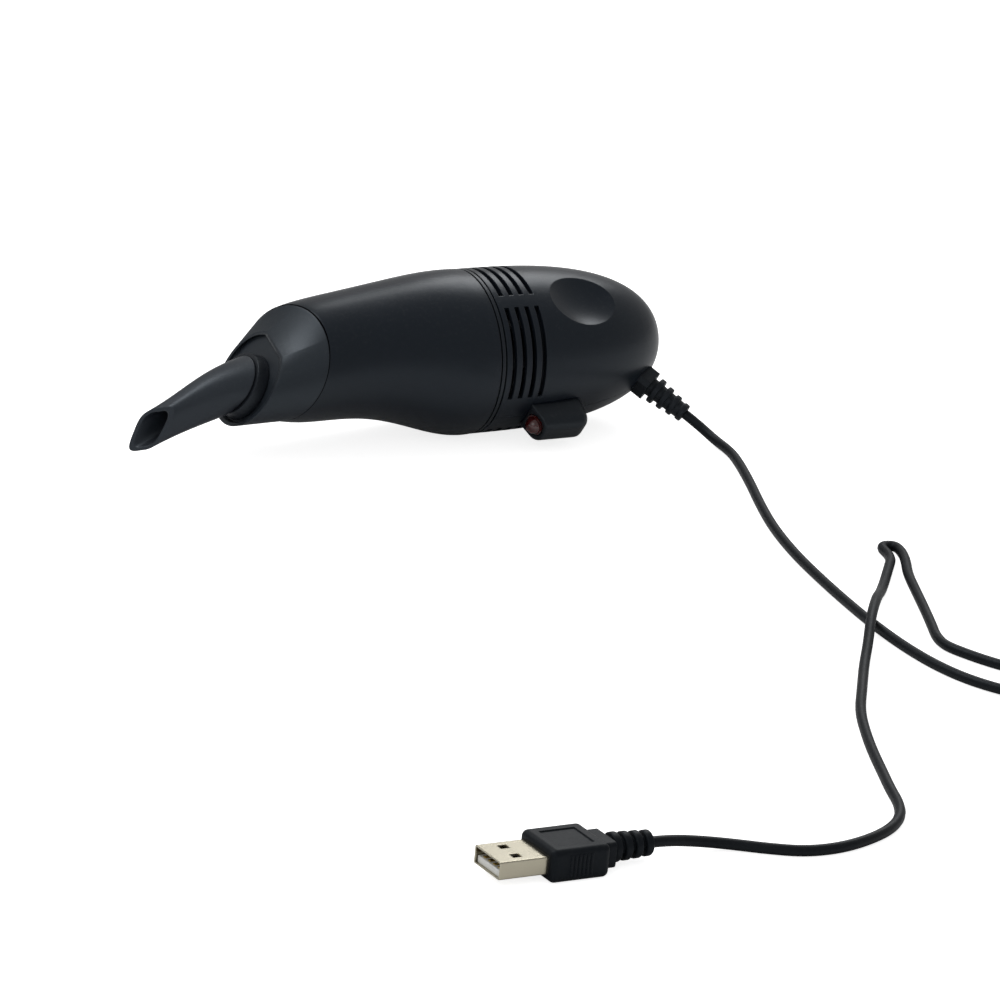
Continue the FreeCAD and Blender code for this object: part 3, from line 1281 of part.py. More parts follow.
def main():
    """Build every node and write it."""
    near, far = make_housing()
    keep("housing_near", in_housing(largest(near)))
    keep("housing_far", in_housing(largest(far)))
    keep("light_pod", in_housing(make_pod()))
    lamp, lamp_leads = make_lamp()
    keep("lamp", in_housing(lamp))
    keep("lamp_leads", in_housing(lamp_leads))
    board, resistor = make_board()
    keep("circuit_board", in_housing(board))
    keep("resistor", in_housing(resistor))
    slider, switch_body, switch_pins = make_switch()
    keep("switch_slider", in_housing(in_switch(slider)))
    keep("switch_body", in_housing(in_switch(switch_body)))
    keep("switch_pins", in_housing(in_switch(switch_pins)))
    keep("housing_screws", in_housing(make_screws()))
    boot, boot_end = make_boot()
    keep("cord_boot", in_housing(boot))
    keep("lead_wires", in_housing(make_wires()))
    case, cap, terminals, magnets, plate = make_motor()
    keep("motor_case", in_housing(case))
    keep("motor_end_cap", in_housing(cap))
    keep("motor_terminals", in_housing(terminals))
    keep("motor_magnets", in_housing(magnets))
    keep("motor_plate", in_housing(plate))
    shaft, armature = make_rotor()
    keep("motor_shaft", in_housing(shaft))
    keep("armature", in_housing(armature))
    keep("fan_wheel", in_housing(make_fan()))
    keep("inlet_plate", in_housing(make_inlet()))
    keep("lock_ring", at_ring(make_lock_ring()))
    keep("dust_chamber", at_ring(make_chamber()))
    keep("front_cone", at_ring(make_cone()))
    keep("nozzle_collar", at_ring(make_collar()))
    keep("nozzle", at_ring(make_nozzle()))
    frame, cloth = make_filter()
    keep("filter_frame", at_ring(frame))
    keep("filter_cloth", at_ring(cloth))
    body, shell, tongue, contacts, plug_end = make_plug()
    keep("plug_body", at_plug(body))
    keep("plug_shell", at_plug(shell))
    keep("plug_tongue", at_plug(tongue))
    keep("plug_contacts", at_plug(contacts))
    coil, lead_in, start_heading, lead_out, end_heading, coil_length = make_coil()
    keep("cord_coil", coil)
    keep("coil_tie", make_tie())
    corner = Part.Vertex(boot_end)
    exit_point = in_housing(corner).Point
    exit_heading = Rotation(X_AXIS, HOUSING_ROLL).multVec(boot_direction())
    plug_exit = at_plug(Part.Vertex(plug_end)).Point
    plug_heading = Rotation(Z_AXIS, PLUG_TURN).multVec(X_AXIS)
    first = [exit_point, exit_point + exit_heading * CORD_LEAD] + [Vector(*point) for point in CORD_TO_COIL]
    first += [lead_in - start_heading * CORD_LEAD, lead_in]
    tube_one, length_one = cord_tube("cord_to_coil", first)
    keep("cord_to_coil", tube_one)
    second = [lead_out, lead_out + end_heading * CORD_LEAD] + [Vector(*point) for point in CORD_TO_PLUG]
    second += [plug_exit + plug_heading * CORD_LEAD, plug_exit]
    tube_two, length_two = cord_tube("cord_to_plug", second)
    keep("cord_to_plug", tube_two)
    print("whole cord %.1f" % (length_one + coil_length + length_two))


main()
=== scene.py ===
"""A small handheld desktop vacuum cleaner: its looks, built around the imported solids.

Everything is in metres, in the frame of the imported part: X runs along the cleaner with the
nozzle at minus X, Y points away from the viewer, and Z points up from the table.
"""

import logging
import math
from dataclasses import dataclass, replace
from enum import Enum
from functools import cache

import bmesh
import bpy
from mathutils import Matrix, Vector


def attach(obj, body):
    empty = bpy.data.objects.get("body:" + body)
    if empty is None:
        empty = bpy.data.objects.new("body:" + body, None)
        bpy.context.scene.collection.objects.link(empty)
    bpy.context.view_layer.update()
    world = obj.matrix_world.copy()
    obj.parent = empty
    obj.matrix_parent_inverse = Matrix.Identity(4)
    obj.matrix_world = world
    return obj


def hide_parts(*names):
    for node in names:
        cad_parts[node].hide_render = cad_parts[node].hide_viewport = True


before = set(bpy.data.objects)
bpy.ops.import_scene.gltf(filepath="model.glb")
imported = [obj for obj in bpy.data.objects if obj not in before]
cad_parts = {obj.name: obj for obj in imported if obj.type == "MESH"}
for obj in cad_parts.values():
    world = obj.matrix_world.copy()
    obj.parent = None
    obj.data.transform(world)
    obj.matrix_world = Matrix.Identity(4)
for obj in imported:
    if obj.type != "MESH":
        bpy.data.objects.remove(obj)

LOG = logging.getLogger("desk_cleaner")
MM = 0.001
RING_CENTRE = Vector((0.0184, 0.0012, 0.02302))
WHITE = (1.0, 1.0, 1.0, 1.0)
COOL_TINT = (0.80, 0.90, 1.0, 1.0)
# The plane in which the front cone meets the chamber: its normal, and its distance from the origin.
JOINT_FACING = (0.91317, 0.28838, -0.28804)
JOINT_OFFSET = -0.042685
# How much darker a finish is in the troughs of its slow cloudiness.
CLOUD_DARKENING = 0.86
DUST_COLOUR = "b9b6af"
JOINT_COLOUR = "050607"


class Surface(Enum):
    """The kinds of finish that the pieces of the cleaner have."""

    MOULDED = "moulded plastic"
    METAL = "metal"
    RUBBER = "rubber"


def shade(code: str) -> tuple[float, float, float, float]:
    """A written colour as the linear values that a shader takes.

    Args:
        code: the colour as six hexadecimal digits.

    Returns:
        Red, green, blue and an alpha of one.
    """
    values = []
    for start in (0, 2, 4):
        part = int(code[start:start + 2], 16) / 255
        values.append(part / 12.92 if part <= 0.04045 else ((part + 0.055) / 1.055) ** 2.4)
    return (values[0], values[1], values[2], 1.0)


def deepen(colour: tuple[float, float, float, float], share: float) -> tuple[float, float, float, float]:
    """A darker form of a colour.

    Args:
        colour: red, green, blue and alpha.
        share: how much of its light is left.

    Returns:
        The darker colour, with an alpha of one.
    """
    return (colour[0] * share, colour[1] * share, colour[2] * share, 1.0)


class Graph:
    """A small helper that adds and joins nodes in a shader tree."""

    COLUMN_WIDTH = 180
    # The Mix node's colour sockets share their names with its others, so they go by place.
    MIX_FIRST = 6
    MIX_SECOND = 7
    MIX_RESULT = 2

    def __init__(self, tree: bpy.types.NodeTree) -> None:
        """Keep the tree and start with nothing in it.

        Args:
            tree: the node tree to fill.
        """
        self.tree = tree
        tree.nodes.clear()
        self.column = 0

    def add(self, kind: str, **values: object) -> bpy.types.Node:
        """Add a node and set its properties.

        Args:
            kind: the node's type name.
            values: properties to set on the node.

        Returns:
            The new node.
        """
        node = self.tree.nodes.new(kind)
        node.location = (self.column, 0)
        self.column += self.COLUMN_WIDTH
        for name, value in values.items():
            setattr(node, name, value)
        return node

    def join(self, start: bpy.types.NodeSocket, end: bpy.types.NodeSocket) -> None:
        """Join an output to an input.

        Args:
            start: the output.
            end: the input.
        """
        self.tree.links.new(start, end)

    def feed(self, value: object, end: bpy.types.NodeSocket) -> None:
        """Give an input its value.

        Args:
            value: an output to join to it, or a number or colour to write in it.
            end: the input.
        """
        if isinstance(value, bpy.types.NodeSocket):
            self.join(value, end)
        else:
            end.default_value = value

    def maths(self, operation: str, first: object, second: object = 0.0,
              clamp: bool = False) -> bpy.types.NodeSocket:
        """Add a Math node.

        Args:
            operation: the Math node's operation.
            first: a socket or a number.
            second: a socket or a number.
            clamp: whether the value is kept between nought and one.

        Returns:
            The node's output.
        """
        node = self.add("ShaderNodeMath", operation=operation, use_clamp=clamp)
        self.feed(first, node.inputs[0])
        self.feed(second, node.inputs[1])
        return node.outputs[0]

    def noise(self, place: bpy.types.NodeSocket, scale: object, detail: float = 4.0,
              rough: float = 0.55) -> bpy.types.NodeSocket:
        """Add a noise texture.

        Args:
            place: where the noise is read.
            scale: a socket or a number.
            detail: how many octaves it has.
            rough: how strong the finer octaves are.

        Returns:
            The noise as a value about one half.
        """
        node = self.add("ShaderNodeTexNoise")
        node.inputs["Detail"].default_value = detail
        node.inputs["Roughness"].default_value = rough
        self.join(place, node.inputs["Vector"])
        self.feed(scale, node.inputs["Scale"])
        return node.outputs["Fac"]

    def blend(self, amount: bpy.types.NodeSocket, first: object, second: object) -> bpy.types.NodeSocket:
        """Mix two colours.

        Args:
            amount: how much of the second there is.
            first: a socket or a colour.
            second: a socket or a colour.

        Returns:
            The mixed colour.
        """
        node = self.add("ShaderNodeMix", data_type="RGBA")
        self.join(amount, node.inputs["Factor"])
        self.feed(first, node.inputs[self.MIX_FIRST])
        self.feed(second, node.inputs[self.MIX_SECOND])
        return node.outputs[self.MIX_RESULT]

    def bump(self, height: bpy.types.NodeSocket, distance: float,
             normal: bpy.types.NodeSocket | None = None) -> bpy.types.NodeSocket:
        """Turn a height into a normal.

        Args:
            height: the height as a value.
            distance: how deep it is, in metres.
            normal: a normal to start from.

        Returns:
            The bumped normal.
        """
        node = self.add("ShaderNodeBump")
        node.inputs["Strength"].default_value = 1.0
        self.join(height, node.inputs["Height"])
        node.inputs["Distance"].default_value = distance
        if normal is not None:
            self.join(normal, node.inputs["Normal"])
        return node.outputs["Normal"]


def start_material(name: str) -> tuple[bpy.types.Material, Graph, bpy.types.Node]:
    """Start a material with a shader on its surface.

    Args:
        name: the material's name.

    Returns:
        The material, its graph and its shader.
    """
    made = bpy.data.materials.new(name)
    made.use_nodes = True
    graph = Graph(made.node_tree)
    shader = graph.add("ShaderNodeBsdfPrincipled")
    leave = graph.add("ShaderNodeOutputMaterial")
    graph.join(shader.outputs[0], leave.inputs["Surface"])
    return made, graph, shader


@dataclass(frozen=True)
class Port:
    """One input or output of a shared shader group."""

    name: str
    kind: str
    value: object = None


class Effects:
    """The shader groups that the finishes share, each built once.

    A scale is in cycles for each metre.
    """

    GRAIN_SCALE = 2200.0
    CLOUD_SCALE = 46.0
    EDGE_RADIUS = 0.0004
    PATCH_SCALE = 420.0
    PATCH_STRENGTH = 9.0
    SPECK_SCALE = 900.0
    SPECK_FROM = 0.52
    SPECK_STRENGTH = 6.0
    JOINT_HALF_WIDTH = 0.00014
    JOINT_SHARPNESS = 2.5

    def __init__(self) -> None:
        """Build every group."""
        self.grain = self._grain()
        self.wear = self._wear()
        self.dust = self._dust()
        self.weave = self._weave()
        self.joint = self._joint()

    def _start(self, name: str, inputs: list[Port], outputs: list[Port]) -> tuple[Graph, dict, dict]:
        """Start a group with its ports.

        Args:
            name: the group's name.
            inputs: its inputs.
            outputs: its outputs.

        Returns:
            The graph, its inputs by name and its outputs by name.
        """
        tree = bpy.data.node_groups.new(name, "ShaderNodeTree")
        for port in inputs:
            socket = tree.interface.new_socket(name=port.name, in_out="INPUT", socket_type=port.kind)
            if port.value is not None:
                socket.default_value = port.value
        for port in outputs:
            tree.interface.new_socket(name=port.name, in_out="OUTPUT", socket_type=port.kind)
        graph = Graph(tree)
        entry = graph.add("NodeGroupInput")
        leave = graph.add("NodeGroupOutput")
        ins = {socket.name: socket for socket in entry.outputs}
        outs = {socket.name: socket for socket in leave.inputs}
        return graph, ins, outs

    def _grain(self) -> bpy.types.NodeTree:
        """Fine moulded grain: a height, and a slow cloudiness of the gloss.

        Returns:
            The group.
        """
        graph, ins, outs = self._start(
            "moulded grain",
            [Port("Size", "NodeSocketFloat", self.GRAIN_SCALE)],
            [Port("Height", "NodeSocketFloat"), Port("Cloud", "NodeSocketFloat")])
        place = graph.add("ShaderNodeTexCoord").outputs["Object"]
        fine = graph.noise(place, ins["Size"], detail=3.0, rough=0.6)
        broad = graph.noise(place, self.CLOUD_SCALE, detail=5.0, rough=0.6)
        graph.join(fine, outs["Height"])
        graph.join(broad, outs["Cloud"])
        return graph.tree

    def _wear(self) -> bpy.types.NodeTree:
        """Softly worn edges: a mask where the surface turns sharply.

        Returns:
            The group.
        """
        graph, ins, outs = self._start(
            "edge wear",
            [Port("Radius", "NodeSocketFloat", self.EDGE_RADIUS), Port("Amount", "NodeSocketFloat", 1.0)],
            [Port("Mask", "NodeSocketFloat"), Port("Soft Normal", "NodeSocketVector")])
        place = graph.add("ShaderNodeTexCoord").outputs["Object"]
        rounded = graph.add("ShaderNodeBevel", samples=4)
        graph.join(ins["Radius"], rounded.inputs["Radius"])
        plain = graph.add("ShaderNodeNewGeometry").outputs["Normal"]
        across = graph.add("ShaderNodeVectorMath", operation="DOT_PRODUCT")
        graph.join(rounded.outputs[0], across.inputs[0])
        graph.join(plain, across.inputs[1])
        turned = graph.maths("SUBTRACT", 1.0, across.outputs["Value"])
        patchy = graph.noise(place, self.PATCH_SCALE, detail=4.0, rough=0.7)
        scaled = graph.maths("MULTIPLY", turned, graph.maths("MULTIPLY", patchy, self.PATCH_STRENGTH))
        graph.join(graph.maths("MULTIPLY", scaled, ins["Amount"], clamp=True), outs["Mask"])
        graph.join(rounded.outputs[0], outs["Soft Normal"])
        return graph.tree

    def _dust(self) -> bpy.types.NodeTree:
        """A trace of dust that lies on what faces up.

        Returns:
            The group.
        """
        graph, ins, outs = self._start(
            "settled dust",
            [Port("Amount", "NodeSocketFloat", 0.2)],
            [Port("Mask", "NodeSocketFloat")])
        place = graph.add("ShaderNodeTexCoord").outputs["Object"]
        normal = graph.add("ShaderNodeNewGeometry").outputs["Normal"]
        split = graph.add("ShaderNodeSeparateXYZ")
        graph.join(normal, split.inputs[0])
        up = graph.maths("MAXIMUM", split.outputs["Z"], 0.0)
        specks = graph.noise(place, self.SPECK_SCALE, detail=6.0, rough=0.75)
        raised = graph.maths("SUBTRACT", specks, self.SPECK_FROM)
        sharp = graph.maths("MULTIPLY", raised, self.SPECK_STRENGTH, clamp=True)
        graph.join(graph.maths("MULTIPLY", graph.maths("MULTIPLY", up, sharp), ins["Amount"]), outs["Mask"])
        return graph.tree

    def _weave(self) -> bpy.types.NodeTree:
        """A plain weave of two sets of threads on the piece's own map.

        Returns:
            The group.
        """
        graph, ins, outs = self._start(
            "plain weave",
            [Port("Count", "NodeSocketFloat", 60.0)],
            [Port("Height", "NodeSocketFloat"), Port("Thread", "NodeSocketFloat")])
        place = graph.add("ShaderNodeUVMap").outputs[0]
        split = graph.add("ShaderNodeSeparateXYZ")
        graph.join(place, split.inputs[0])
        waves = []
        for name in ("X", "Y"):
            pitch = graph.maths("MULTIPLY", ins["Count"], 2 * math.pi)
            waves.append(graph.maths("SINE", graph.maths("MULTIPLY", split.outputs[name], pitch)))
        crossed = graph.maths("MULTIPLY", waves[0], waves[1])
        height = graph.maths("ADD", graph.maths("MULTIPLY", crossed, 0.5), 0.5)
        graph.join(height, outs["Height"])
        fibres = graph.noise(place, graph.maths("MULTIPLY", ins["Count"], 3.0), detail=3.0)
        graph.join(fibres, outs["Thread"])
        return graph.tree

    def _joint(self) -> bpy.types.NodeTree:
        """The fine line where the front cone meets the chamber: a mask along their plane.

        Returns:
            The group.
        """
        graph, ins, outs = self._start(
            "fine joint",
            [Port("Half Width", "NodeSocketFloat", self.JOINT_HALF_WIDTH)],
            [Port("Mask", "NodeSocketFloat")])
        place = graph.add("ShaderNodeTexCoord").outputs["Object"]
        along = graph.add("ShaderNodeVectorMath", operation="DOT_PRODUCT")
        graph.join(place, along.inputs[0])
        along.inputs[1].default_value = JOINT_FACING
        away = graph.maths("ABSOLUTE", graph.maths("SUBTRACT", along.outputs["Value"], JOINT_OFFSET))
        share = graph.maths("DIVIDE", away, ins["Half Width"])
        nearness = graph.maths("SUBTRACT", 1.0, share)
        inside = graph.maths("MULTIPLY", nearness, self.JOINT_SHARPNESS, clamp=True)
        graph.join(inside, outs["Mask"])
        return graph.tree


EFFECTS = Effects()


@dataclass(frozen=True)
class Finish:
    """A finish: what a maker would write down for a surface.

    Sizes are in metres. Shares run from nought to one.
    """

    name: str
    surface: Surface
    colour: str
    worn: str
    rough: float
    grain_size: float = 2200.0
    grain_depth: float = 0.00002
    rough_spread: float = 0.10
    edge: float = 0.0004
    wear: float = 0.3
    dust: float = 0.10
    coat: float = 0.0
    coat_rough: float = 0.08
    specular: float = 0.5
    jointed: bool = False

    @cache
    def material(self) -> bpy.types.Material:
        """The material, built on first use.

        Returns:
            The material of this finish.
        """
        made, graph, shader = start_material(self.name)
        self._constants(shader)
        grain = self._group(graph, EFFECTS.grain, {"Size": self.grain_size})
        wear = self._group(graph, EFFECTS.wear, {"Radius": self.edge, "Amount": self.wear})
        dust = self._group(graph, EFFECTS.dust, {"Amount": self.dust})
        base = shade(self.colour)
        darker = deepen(base, CLOUD_DARKENING)
        cloudy = graph.blend(grain.outputs["Cloud"], darker, base)
        edged = graph.blend(wear.outputs["Mask"], cloudy, shade(self.worn))
        dusted = graph.blend(dust.outputs["Mask"], edged, shade(DUST_COLOUR))
        graph.join(dusted, shader.inputs["Base Color"])
        swing = graph.maths("SUBTRACT", grain.outputs["Cloud"], 0.5)
        spread = graph.maths("MULTIPLY", swing, 2 * self.rough_spread)
        rough = graph.maths("ADD", spread, self.rough, clamp=True)
        graph.join(rough, shader.inputs["Roughness"])
        normal = graph.bump(grain.outputs["Height"], self.grain_depth, wear.outputs["Soft Normal"])
        if self.jointed:
            line = graph.add("ShaderNodeGroup", node_tree=EFFECTS.joint).outputs["Mask"]
            graph.join(graph.blend(line, dusted, shade(JOINT_COLOUR)), shader.inputs["Base Color"])
            shine = graph.maths("MULTIPLY", graph.maths("SUBTRACT", 1.0, line), self.specular)
            graph.join(shine, shader.inputs["Specular IOR Level"])
        graph.join(normal, shader.inputs["Normal"])
        return made

    def _constants(self, shader: bpy.types.Node) -> None:
        """Set what is the same all over the surface on the shader's own sockets.

        Args:
            shader: the material's shader.
        """
        shader.inputs["Metallic"].default_value = 1.0 if self.surface is Surface.METAL else 0.0
        shader.inputs["Specular IOR Level"].default_value = self.specular
        if self.surface is not Surface.METAL:
            shader.inputs["Specular Tint"].default_value = COOL_TINT
        shader.inputs["Coat Weight"].default_value = self.coat
        shader.inputs["Coat Roughness"].default_value = self.coat_rough

    @staticmethod
    def _group(graph: Graph, tree: bpy.types.NodeTree, values: dict[str, float]) -> bpy.types.Node:
        """Place a shared group with its own values.

        Args:
            graph: the material's graph.
            tree: the shared group.
            values: its inputs by name.

        Returns:
            The group's node.
        """
        node = graph.add("ShaderNodeGroup", node_tree=tree)
        for name, value in values.items():
            node.inputs[name].default_value = value
        return node


BLACK_SHELL = Finish("black_shell", Surface.MOULDED, "12171e", "343a40", 0.32,
                     specular=0.30, dust=0.02, wear=0.14)
CHAMBER_SHELL = replace(BLACK_SHELL, name="chamber_shell", jointed=True)
GLOSS_SHELL = Finish("gloss_shell", Surface.MOULDED, "0f1318", "31373d", 0.28,
                     specular=0.34, dust=0.02, wear=0.12, grain_depth=0.00001)
CONE_SHELL = Finish("cone_shell", Surface.MOULDED, "161b21", "343a40", 0.42,
                    specular=0.46, dust=0.02, wear=0.12, grain_depth=0.00001, jointed=True)
NOZZLE_SHELL = Finish("nozzle_shell", Surface.MOULDED, "1e2228", "454a50", 0.42,
                      specular=0.46, dust=0.03, wear=0.18)
RING_SHELL = Finish("ring_shell", Surface.MOULDED, "15181d", "3c4248", 0.34,
                    specular=0.34, dust=0.02, wear=0.2)
KNOB_SHELL = Finish("knob_shell", Surface.MOULDED, "24282d", "565b61", 0.34, specular=0.34, dust=0.03)
BOOT_RUBBER = Finish("boot_rubber", Surface.RUBBER, "101317", "2c3035", 0.48,
                     grain_depth=0.00003, specular=0.26, dust=0.02)
CORD_RUBBER = Finish("cord_rubber", Surface.RUBBER, "0f1114", "282b2f", 0.46,
                     grain_depth=0.00003, specular=0.17, dust=0.02)
PLUG_RUBBER = Finish("plug_rubber", Surface.RUBBER, "101317", "2c3136", 0.46,
                     grain_depth=0.00003, specular=0.14, dust=0.02, wear=0.2)
STRAP_RUBBER = Finish("strap_rubber", Surface.RUBBER, "15181b", "383c41", 0.6,
                      grain_depth=0.00006, specular=0.22, dust=0.03)
SHELL_STEEL = Finish("shell_steel", Surface.METAL, "bdb7a4", "d8d3c2", 0.26,
                     grain_depth=0.000008, wear=0.2, dust=0.02)
MOTOR_STEEL = Finish("motor_steel", Surface.METAL, "a2a5a8", "c9cbcd", 0.33, grain_depth=0.00001, dust=0.05)
SHAFT_STEEL = Finish("shaft_steel", Surface.METAL, "b0b2b5", "d4d6d8", 0.20, grain_depth=0.000005, dust=0.0)
SCREW_STEEL = Finish("screw_steel", Surface.METAL, "55585b", "8d9093", 0.35, grain_depth=0.000008)
CONTACT_GOLD = Finish("contact_gold", Surface.METAL, "d0b05a", "ead49a", 0.22,
                      grain_depth=0.000004, dust=0.0)
POLE_STEEL = Finish("pole_steel", Surface.METAL, "7b7873", "a5a29c", 0.42, grain_depth=0.00002)
FERRITE = Finish("ferrite", Surface.MOULDED, "38393b", "5c5d5f", 0.62, grain_depth=0.00004)
# Painted shade: the fan is made near-black so that the vent slots in front of it read black.
FAN_PAINTED_SHADE = Finish("fan_painted_shade", Surface.MOULDED, "17191c", "34383c", 0.46, specular=0.25)
CAP_PLASTIC = Finish("cap_plastic", Surface.MOULDED, "c8c7c1", "e6e5e0", 0.44)
TONGUE_PLASTIC = Finish("tongue_plastic", Surface.MOULDED, "e2e2dd", "f2f2ee", 0.40, dust=0.02)
BOARD_LACQUER = Finish("board_lacquer", Surface.MOULDED, "2f5d3d", "8aa48f", 0.30, coat=0.3)
RESISTOR_LACQUER = Finish("resistor_lacquer", Surface.MOULDED, "b9a27c", "d9c9ab", 0.32, coat=0.3)
WIRE_RED = Finish("wire_red", Surface.RUBBER, "8e2420", "b8534e", 0.40)


@dataclass(frozen=True)
class LampFinish:
    """The clear dark red of the lamp's dome."""

    name: str = "lamp_dome"
    colour: str = "4c0b0a"
    coat: float = 0.5
    coat_rough: float = 0.05
    refraction: float = 1.55
    clearness: float = 0.15
    cloud_scale: float = 340.0
    deepest: float = 0.45
    rough_least: float = 0.08
    rough_spread: float = 0.1

    def material(self) -> bpy.types.Material:
        """A clear tinted plastic with a faintly cloudy body.

        Returns:
            The material.
        """
        made, graph, shader = start_material(self.name)
        shader.inputs["Coat Weight"].default_value = self.coat
        shader.inputs["Coat Roughness"].default_value = self.coat_rough
        shader.inputs["IOR"].default_value = self.refraction
        shader.inputs["Transmission Weight"].default_value = self.clearness
        place = graph.add("ShaderNodeTexCoord").outputs["Object"]
        cloud = graph.noise(place, self.cloud_scale, detail=3.0)
        base = shade(self.colour)
        graph.join(graph.blend(cloud, deepen(base, self.deepest), base), shader.inputs["Base Color"])
        rough = graph.maths("ADD", graph.maths("MULTIPLY", cloud, self.rough_spread), self.rough_least)
        graph.join(rough, shader.inputs["Roughness"])
        return made


@dataclass(frozen=True)
class ClothFinish:
    """The off-white woven cloth of the filter."""

    name: str = "filter_weave"
    colour: str = "d8d5cb"
    soil: str = "9d988c"
    soiled: float = 0.3
    count: float = 42.0
    rough: float = 0.86
    sheen: float = 0.3
    # How much of the cloth's colour is left in the hollows between the threads: painted shade.
    between: float = 0.62
    depth: float = 0.00012

    def material(self) -> bpy.types.Material:
        """A soft woven cloth, read from the piece's own map, darker in the hollows of its weave as painted
        shade.

        Returns:
            The material.
        """
        made, graph, shader = start_material(self.name)
        shader.inputs["Roughness"].default_value = self.rough
        shader.inputs["Sheen Weight"].default_value = self.sheen
        weave = graph.add("ShaderNodeGroup", node_tree=EFFECTS.weave)
        weave.inputs["Count"].default_value = self.count
        base = shade(self.colour)
        # The weave's hollows are darkened: painted shade.
        threads = graph.blend(weave.outputs["Height"], deepen(base, self.between), base)
        amount = graph.maths("MULTIPLY", weave.outputs["Thread"], self.soiled)
        graph.join(graph.blend(amount, threads, shade(self.soil)), shader.inputs["Base Color"])
        graph.join(graph.bump(weave.outputs["Height"], self.depth), shader.inputs["Normal"])
        return made


LAMP_DOME = LampFinish()
FILTER_WEAVE = ClothFinish()


def dress(node: str, finish: object) -> None:
    """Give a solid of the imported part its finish.

    Args:
        node: the solid's name.
        finish: a finish with a material method.
    """
    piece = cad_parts[node]
    piece.data.materials.clear()
    piece.data.materials.append(finish.material())
    LOG.info("dressed %s", node)


def finished(name: str, mesh: bmesh.types.BMesh, finish: object, body: str) -> bpy.types.Object:
    """Make an object of a bmesh, dress it and let it ride.

    Args:
        name: the piece's name.
        mesh: its faces, in the part's frame.
        finish: a finish with a material method.
        body: the body that it rides on.

    Returns:
        The new object.
    """
    bmesh.ops.recalc_face_normals(mesh, faces=mesh.faces)
    data = bpy.data.meshes.new(name)
    mesh.to_mesh(data)
    mesh.free()
    data.materials.append(finish.material())
    data.polygons.foreach_set("use_smooth", [True] * len(data.polygons))
    piece = bpy.data.objects.new(name, data)
    bpy.context.scene.collection.objects.link(piece)
    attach(piece, body)
    LOG.info("built %s with %d faces", name, len(data.polygons))
    return piece


class Camera:
    """The camera at the photograph's angle.

    The lens and its film are in millimetres, the rest in metres.
    """

    right = Vector((0.86461, -0.49416, 0.09089))
    up = Vector((0.08331, 0.31938, 0.94396))
    toward = Vector((-0.49550, -0.80858, 0.31730))
    looks_at = Vector((0.0197, 0.0012, 0.02314))
    distance = 2.0
    aside = 0.00972
    below = -0.0415
    lens = 259.2
    film = 36.0
    nearest = 0.1
    farthest = 30.0

    def build(self) -> None:
        """Set up the camera and make it the scene's."""
        data = bpy.data.cameras.new("view")
        data.lens = self.lens
        data.sensor_width = self.film
        data.clip_start = self.nearest
        data.clip_end = self.farthest
        camera = bpy.data.objects.new("view", data)
        bpy.context.scene.collection.objects.link(camera)
        rows = [way.normalized() for way in (self.right, self.up, self.toward)]
        place = self.looks_at + self.toward * self.distance
        place = place + self.right * self.aside + self.up * self.below
        camera.matrix_world = Matrix.Translation(place) @ Matrix(rows).transposed().to_4x4()
        bpy.context.scene.camera = camera


